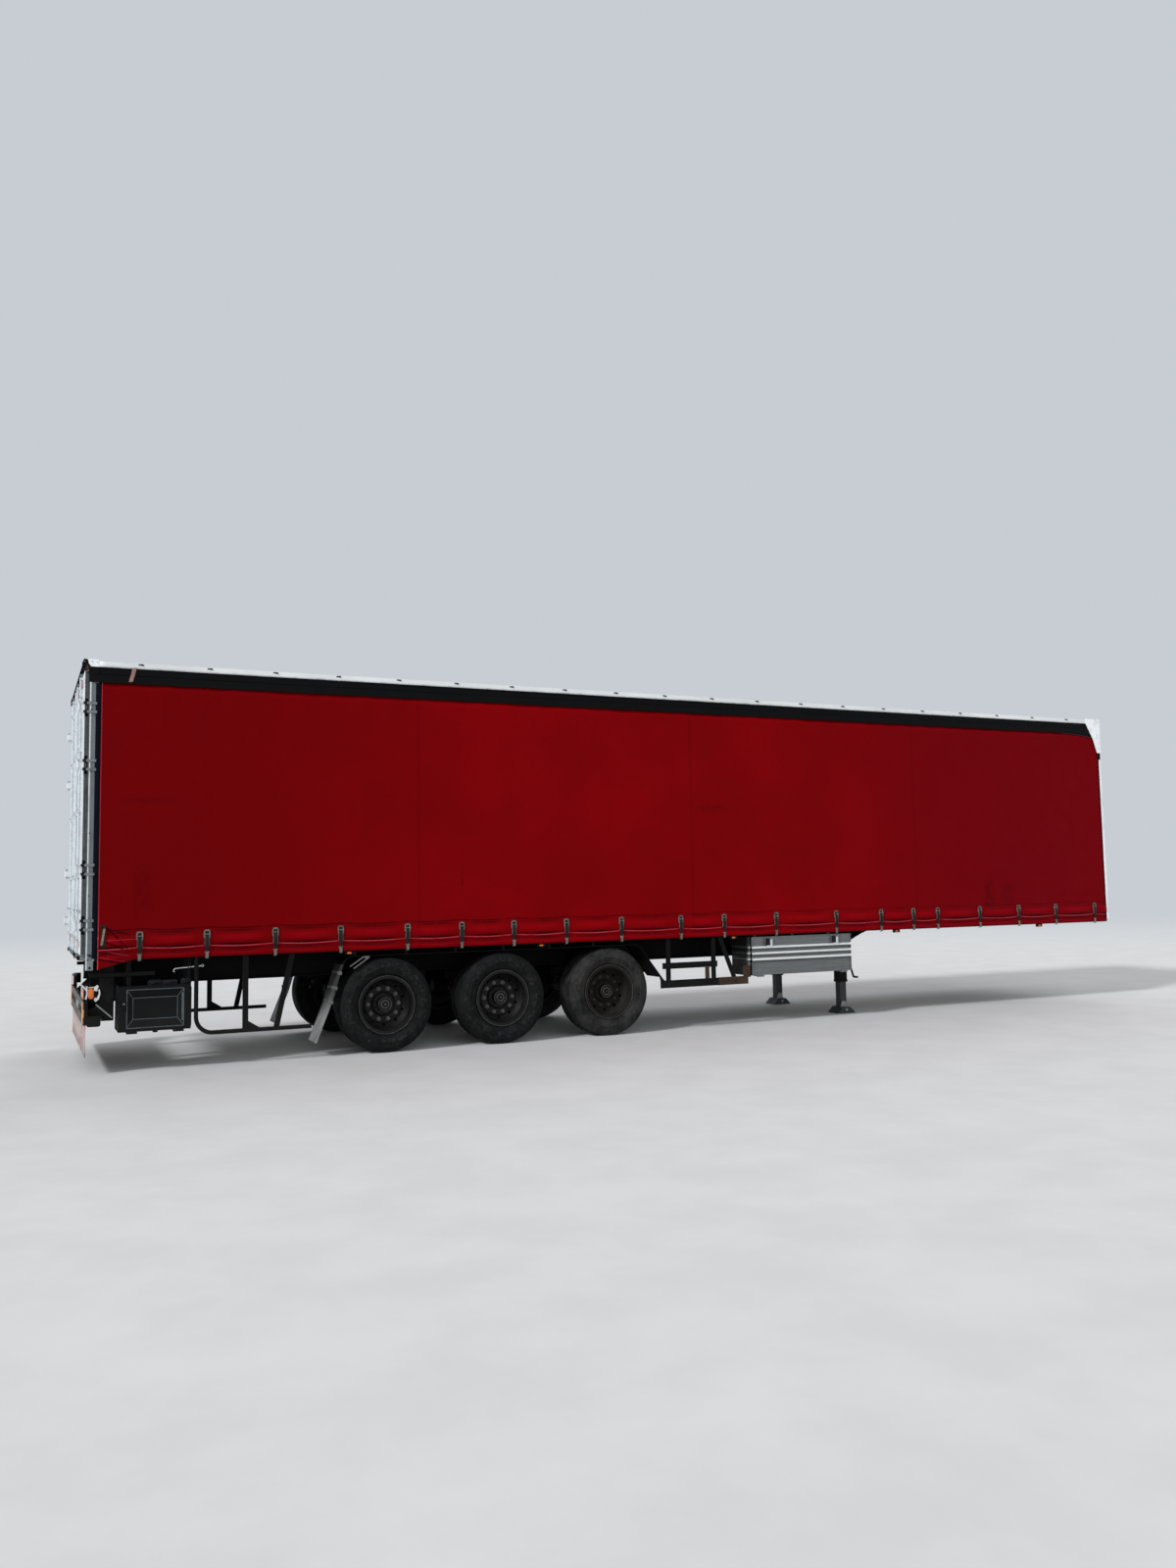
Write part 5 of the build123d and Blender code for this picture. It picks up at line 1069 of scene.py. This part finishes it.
for place in (7.557, 9.0475):
    for heights in ((0.586, 0.604), (1.034, 1.051)):
        ends.slab((place, place + 0.0025), (0.795, 1.2045), heights)
    ends.rivets([(place, 0.85 + 0.08 * k, 0.595) for k in range(5)], BACK, 0.0045)
piece(ends, "locker_end_trims", "locker_aluminium", 0.0006)
bracket = Shape(-1)
bracket.slabs(((7.452, 7.5565, 1.206, 1.2136, 0.572, 0.708), (7.551, 7.5565, 1.12, 1.206, 0.6, 0.7)))
bracket.bolts(((7.48, 1.2136, 0.66), (7.53, 1.2136, 0.61)), OUT)
piece(bracket, "locker_rust_bracket", "rusty_steel", 0.0012)
sleeve = Shape(-1)
sleeve.slabs(((7.085, 7.501, 1.2402, 1.2428, 0.4955, 0.588), (7.085, 7.501, 1.2132, 1.2402, 0.495, 0.4978),
              (7.085, 7.501, 1.2132, 1.2402, 0.5862, 0.5885)))
piece(sleeve, "rack_rusty_sleeve", "plank_brown", 0.0008)

# Mudguard stays, clips of the mud flaps and bolts of the racks
stays = Shape()
for stays.side in SIDES:
    for d0, z0, d1, z1 in ((2.6, 0.915, 2.744, 1.01), (2.64, 0.892, 2.792, 0.996)):
        stays.rod([(d0, 1.249, z0), (d1, 1.249, z1)], 0.0072)
    stays.slab((2.752, 2.806), (1.242, 1.25), (0.994, 1.02))
    down, back = Vector((-0.296, 0, -0.955)), Vector((-0.955, 0, 0.296))
    for low in (0.03, 0.19, 0.34):
        middle = Vector((2.516, 0, 0.88)) + back * 0.0108 + down * low
        bar = ((-0.015, 0), (0.015, 0), (0.015, 0.004), (-0.015, 0.004))
        stays.loft([[middle - down * a + back * b + Vector((0, y, 0)) for a, b in bar] for y in (0.905, 1.225)])
        bolts = [middle + back * 0.004 + Vector((0, y, 0)) for y in (0.94, 1.065, 1.19)]
        stays.bolts(bolts, back, 0.009, 0.008)
        stays.slab((middle.x - 0.016, middle.x + 0.02), (1.2405, 1.244), (middle.z - 0.02, middle.z + 0.014))
    stays.bolts([(place, 1.24, z) for place, z in ((6.4, 0.755), (7.02, 0.755), (6.4, 0.542), (7.02, 0.542),
                                                     (7.32, 0.542), (6.345, 0.56))], OUT, 0.011, 0.008, 1)
    stays.plate(((6.285, 0.64), (6.3, 0.64), (6.345, 0.586), (6.3, 0.586)), (1.212, 1.2395), 1)
stays.side = -1
stays.slab((6.895, 6.955), (1.2405, 1.244), (0.586, 0.73), 2)
piece(stays, "mudguard_stays", "nut_steel lever_black rusty_steel", 0.0008, 40)


def wheel_fittings(number, name, side):
    """Nut caps, hub bolts and rings, valve and the worn edge of the rim, its light ring partly a painted
    highlight, and a dark ring behind the hand holes as painted shade.
    """
    shape = Shape(side)
    axle, third = AXLES[number - 1], number == 3

    def spot(radius, turn, away):
        return axle + radius * math.cos(turn), WHEEL_Y + away, TYRE_R + radius * math.sin(turn)

    for turn in turns(10):
        nut = spot(0.1675, turn, 0.004)
        shape.lathe(nut, OUT, ((0, 0.0235), (0.004, 0.0235), (0.0045, 0.0215)), 0, 18)
        shape.lathe(nut, OUT, ((0.004, 0.02), (0.026, 0.0195), (0.0275, 0.016)), 0, 6 if third else 12)
        shape.lathe(nut, OUT, ((0.027, 0.0105), (0.039, 0.01), (0.041, 0.007)), 0, 14)
        shape.bolt(spot(0.0985, turn + 0.31, 0.026), OUT, 0.0075, 0.007, 1)
    centre = spot(0, 0, 0)
    # The last ring is the rim's worn lip, its light colour also a painted highlight; the two before it are hub
    # rings in the same colour
    for radius, away, thick, kind in ((0.113, 0.0262, 0.004, 1), (0.069, 0.0845, 0.003, 2),
                                      (0.04, 0.0842, 0.0045, 2), (0.304, 0.1612, 0.0022, 2)):
        shape.hoop(centre, OUT, ring_profile(away, radius, thick), kind, 72)
    # Dark ring behind the hand holes: painted shade seen through them
    shape.hoop(centre, OUT, ((-0.04, 0.2055), (-0.036, 0.2055), (-0.036, 0.2485), (-0.04, 0.2485)), 1, 48)
    cap = ((0.083, 0.034), (0.086, 0.033), (0.087, 0.016), (0.096, 0.015), (0.098, 0.009))
    shape.lathe(centre, OUT, cap, 1, 18)
    shape.lathe(centre, OUT, ((0.0975, 0.0085), (0.1005, 0.007)), 0, 12)
    shape.rod([spot(0.262, 0.94, 0.06), spot(0.256, 0.94, 0.092), spot(0.247, 0.94, 0.112)], 0.0042, 0, 10)
    shape.rod([spot(0.2475, 0.94, 0.11), spot(0.244, 0.94, 0.118)], 0.0056, 1, 10)
    looks = "nut_rusty rim_rusty lip_worn" if third else "nut_steel rim_black lip_worn"
    piece(shape, f"wheel_{number}_{name}_fittings", looks, 0, 40, f"wheel_{number}_{name}")


for wheel in WHEELS:
    wheel_fittings(*wheel)

# Landing legs: collars, braces of the shoes, gearbox cover, bolts and crank grip
legs = Shape()
for legs.side in SIDES:
    for z0, z1, edge in ((0.402, 0.428, 0.064), (0.77, 0.79, 0.063)):
        legs.slabs(((-edge, edge, 0.06, edge, z0, z1), (-edge, edge, -edge, -0.06, z0, z1),
                    (-edge, -0.06, -0.06, 0.06, z0, z1), (0.06, edge, -0.06, 0.06, z0, z1)), 0, LEG, LEG_Y)
    legs.bolts([(LEG + dx, 0.672, z) for dx in (-0.11, 0.11) for z in (0.87, 0.95, 1.03)], OUT, 0.011, 0.009)
    for way in (-1, 1):
        legs.lathe((LEG, LEG_Y + way * 0.1102, 0.044), (0, way, 0), ((0, 0.02), (0.006, 0.019)), 1, 16)
        legs.plate(((LEG - 0.055, 0.078), (LEG + 0.055, 0.078), (LEG + 0.03, 0.15), (LEG - 0.03, 0.15)),
                   (LEG_Y + way * 0.052, LEG_Y + way * 0.058), 1)
legs.side = -1
cover = [(LEG + dx, 0.862, 0.74 + dz) for dz in (-0.062, 0.062) for dx in (-0.042, 0, 0.042)]
legs.bolts(cover, OUT, 0.006, 0.005)
legs.pad((LEG, 0.8622, 0.74), OUT, (0.032, 0.045), 0.015, ((0, 0), (0.006, 0.001), (0.009, 0.006)))
legs.rod([(LEG + 0.097, 0.889, 0.468), (LEG + 0.097, 0.965, 0.468)], (0.0135, 0.012), 2)
piece(legs, "landing_leg_fittings", "chassis_black zinc_steel rubber_black", 0.0012)

# Running gear: air pipes with clips, tank straps and ends, pivot bolts, clamp bolts and spring seats
gear = Shape()
for gear.side in SIDES:
    for z in (1.0, 1.024):
        gear.rod([(place, 0.578, z) for place in (1.3, 4.0, 8.78)], 0.006, 0, 8)
    for place in (1.4 + 0.72 * k for k in range(11)):
        gear.slab((place - 0.01, place + 0.01), (0.57, 0.5958), (0.99, 1.034), 1)
    for place in (1.3, 8.78):
        gear.slab((place - 0.04, place + 0.04), (0.555, 0.5958), (0.97, 1.05), 1)
        gear.lathe((place, 0.555, 1.012), IN, ((0, 0.022), (0.018, 0.022), (0.024, 0.014)), 2, 16)
    for place in (6.54, 7.105, 7.665):
        strap = ((-0.016, 0.1228), (0.016, 0.1228), (0.016, 0.1262), (-0.016, 0.1262))
        gear.hoop((place, 0.25, 0.945), FRONT, strap, 2, 48)
    for place, way in ((6.4645, BACK), (7.7455, FRONT)):
        gear.lathe((place, 0.25, 0.945), way, ((0, 0.116), (0.01, 0.1), (0.018, 0.07), (0.021, 0.02)), 3, 32)
        gear.lathe((place, 0.25, 0.945), way, ((0.02, 0.016), (0.032, 0.016)), 2, 6)
    for axle in AXLES:
        for way in (-1, 1):
            gear.lathe((axle + 0.5, 0.6 + way * 0.0552, 0.56), (0, way, 0),
                       ((0, 0.034), (0.004, 0.034), (0.0045, 0.024), (0.018, 0.022), (0.02, 0.014)), 2, 6)
            for dx in (-0.088, 0.088):
                gear.rod([(axle + dx, 0.6 + way * 0.03, z) for z in (0.43, 0.64)], 0.009, 3, 10)
        gear.slab((axle - 0.1, axle + 0.1), (0.56, 0.64), (0.428, 0.4378), 3)
        gear.lathe((axle - 0.3, 0.6, 0.636), UP, ((0, 0.0925), (0.012, 0.0935), (0.024, 0.0925)), 3, 32)
piece(gear, "running_gear_fittings", "rubber_black plastic_black zinc_steel chassis_black",
      0.0008, 40)

# Front wall: couplings, sockets, rivet rows and cap ribs
front = Shape()
for y, kind in ((-0.21, 1), (0.21, 2)):
    coupling = ((0, 0.03), (0.01, 0.03), (0.014, 0.024), (0.026, 0.02))
    front.lathe((WALL_FRONT, y, 1.41), FRONT, coupling, kind, 20)
    front.slab((WALL_FRONT, WALL_FRONT + 0.012), (y - 0.034, y + 0.034), (1.438, 1.446), kind)
for y in (-0.07, 0.07):
    front.lathe((WALL_FRONT, y, 1.41), FRONT, ((0, 0.033), (0.008, 0.033), (0.012, 0.028)), 3, 24)
    front.slab((WALL_FRONT, WALL_FRONT + 0.008), (y - 0.02, y + 0.02), (1.44, 1.452), 3)
front.rivets([(13.5622, k * 2.26 / 9 + dy, 1.62 + 0.152 * j) for k in range(-4, 5) for j in range(15)
              for dy in (-0.02, 0.02)], FRONT, 0.0055)
for front.side in SIDES:
    front.rivets([(WALL_FRONT, 1.215, 1.3 + 0.145 * j) for j in range(16)], FRONT)
    for z in (3.55, 3.64, 3.73, 3.82):
        front.slab((13.5 if z > 3.7 else 13.535, 13.588), (1.2752, 1.2762), (z, z + 0.01), 4)
piece(front, "front_wall_fittings", "zinc_steel coupling_red coupling_yellow plastic_black cap_white",
      0.0006, 40)

rings = Shape()
for rings.side in SIDES:
    for place in (0.75 + 1.1 * k for k in range(12)):
        rings.slab((place - 0.03, place + 0.03), (1.14, 1.172), (1.2202, 1.224))
        rings.hoop((place, 1.128, 1.2262), UP, ring_profile(0, 0.026, 0.0045), 0, 20)
piece(rings, "lashing_rings", "zinc_steel", 0.0006, 40)

# Stage: pale floor that fades into a pale background
BACKDROP = (*lin(199, 205, 211), 1)


def stage_floor():
    mesh = bpy.data.meshes.new("floor")
    mesh.from_pydata([(90 * math.cos(a), 90 * math.sin(a), 0) for a in turns(64)], [], [tuple(range(64))])
    m = Mat("floor_pale", 0, 0.2)
    m.set(m.shader.inputs["Base Color"], m.mix(m.patch(0.3, 0.7, 1.5), lin(192, 193, 194), lin(198, 199, 200)))
    m.set(m.shader.inputs["Roughness"], 0.9)
    far = m.node("ShaderNodeVectorMath", {0: m.place}, operation="LENGTH").outputs["Value"]
    glow = m.node("ShaderNodeEmission", {"Color": BACKDROP})
    share = m.times(m.span(far, 14.0, 46.0), m.node("ShaderNodeLightPath").outputs["Is Camera Ray"])
    blend = m.node("ShaderNodeMixShader", {0: share, 1: m.shader.outputs[0], 2: glow.outputs[0]})
    m.set(m.tree.nodes["Material Output"].inputs[0], blend.outputs[0])
    mesh.materials.append(m.material)
    obj = bpy.data.objects.new("floor", mesh)
    scene.collection.objects.link(obj)


stage_floor()
world = bpy.data.worlds.new("studio")
scene.world = world
world.use_nodes = True
sky = world.node_tree
back = sky.nodes["Background"]
back.inputs["Color"].default_value = (0.97, 0.985, 1.0, 1)
back.inputs["Strength"].default_value = 0.62
seen = sky.nodes.new("ShaderNodeBackground")
seen.inputs["Color"].default_value = BACKDROP
seen.inputs["Strength"].default_value = 1.0
rays = sky.nodes.new("ShaderNodeLightPath")
either = sky.nodes.new("ShaderNodeMath")
either.operation = "MAXIMUM"
choose = sky.nodes.new("ShaderNodeMixShader")
for start, end in ((rays.outputs["Is Camera Ray"], either.inputs[0]),
                   (rays.outputs["Is Glossy Ray"], either.inputs[1]),
                   (either.outputs[0], choose.inputs[0]), (back.outputs[0], choose.inputs[1]),
                   (seen.outputs[0], choose.inputs[2]),
                   (choose.outputs[0], sky.nodes["World Output"].inputs[0])):
    sky.links.new(start, end)
# columns: name, way, energy, apparent width in degrees
for name, way, energy, width in (("key", (0.8, 0.3, -0.62), 2.3, 8), ("fill", (-0.6, -0.5, -0.8), 0.7, 40),
                                 ("side", (0.1, 0.9, -0.4), 0.35, 50)):
    lamp_data = bpy.data.lights.new(name, "SUN")
    lamp_data.energy = energy
    lamp_data.angle = math.radians(width)
    lamp = bpy.data.objects.new(name, lamp_data)
    lamp.rotation_mode = "QUATERNION"
    lamp.rotation_quaternion = Vector(way).to_track_quat("-Z", "Y")
    scene.collection.objects.link(lamp)
scene.view_settings.view_transform = "Standard"
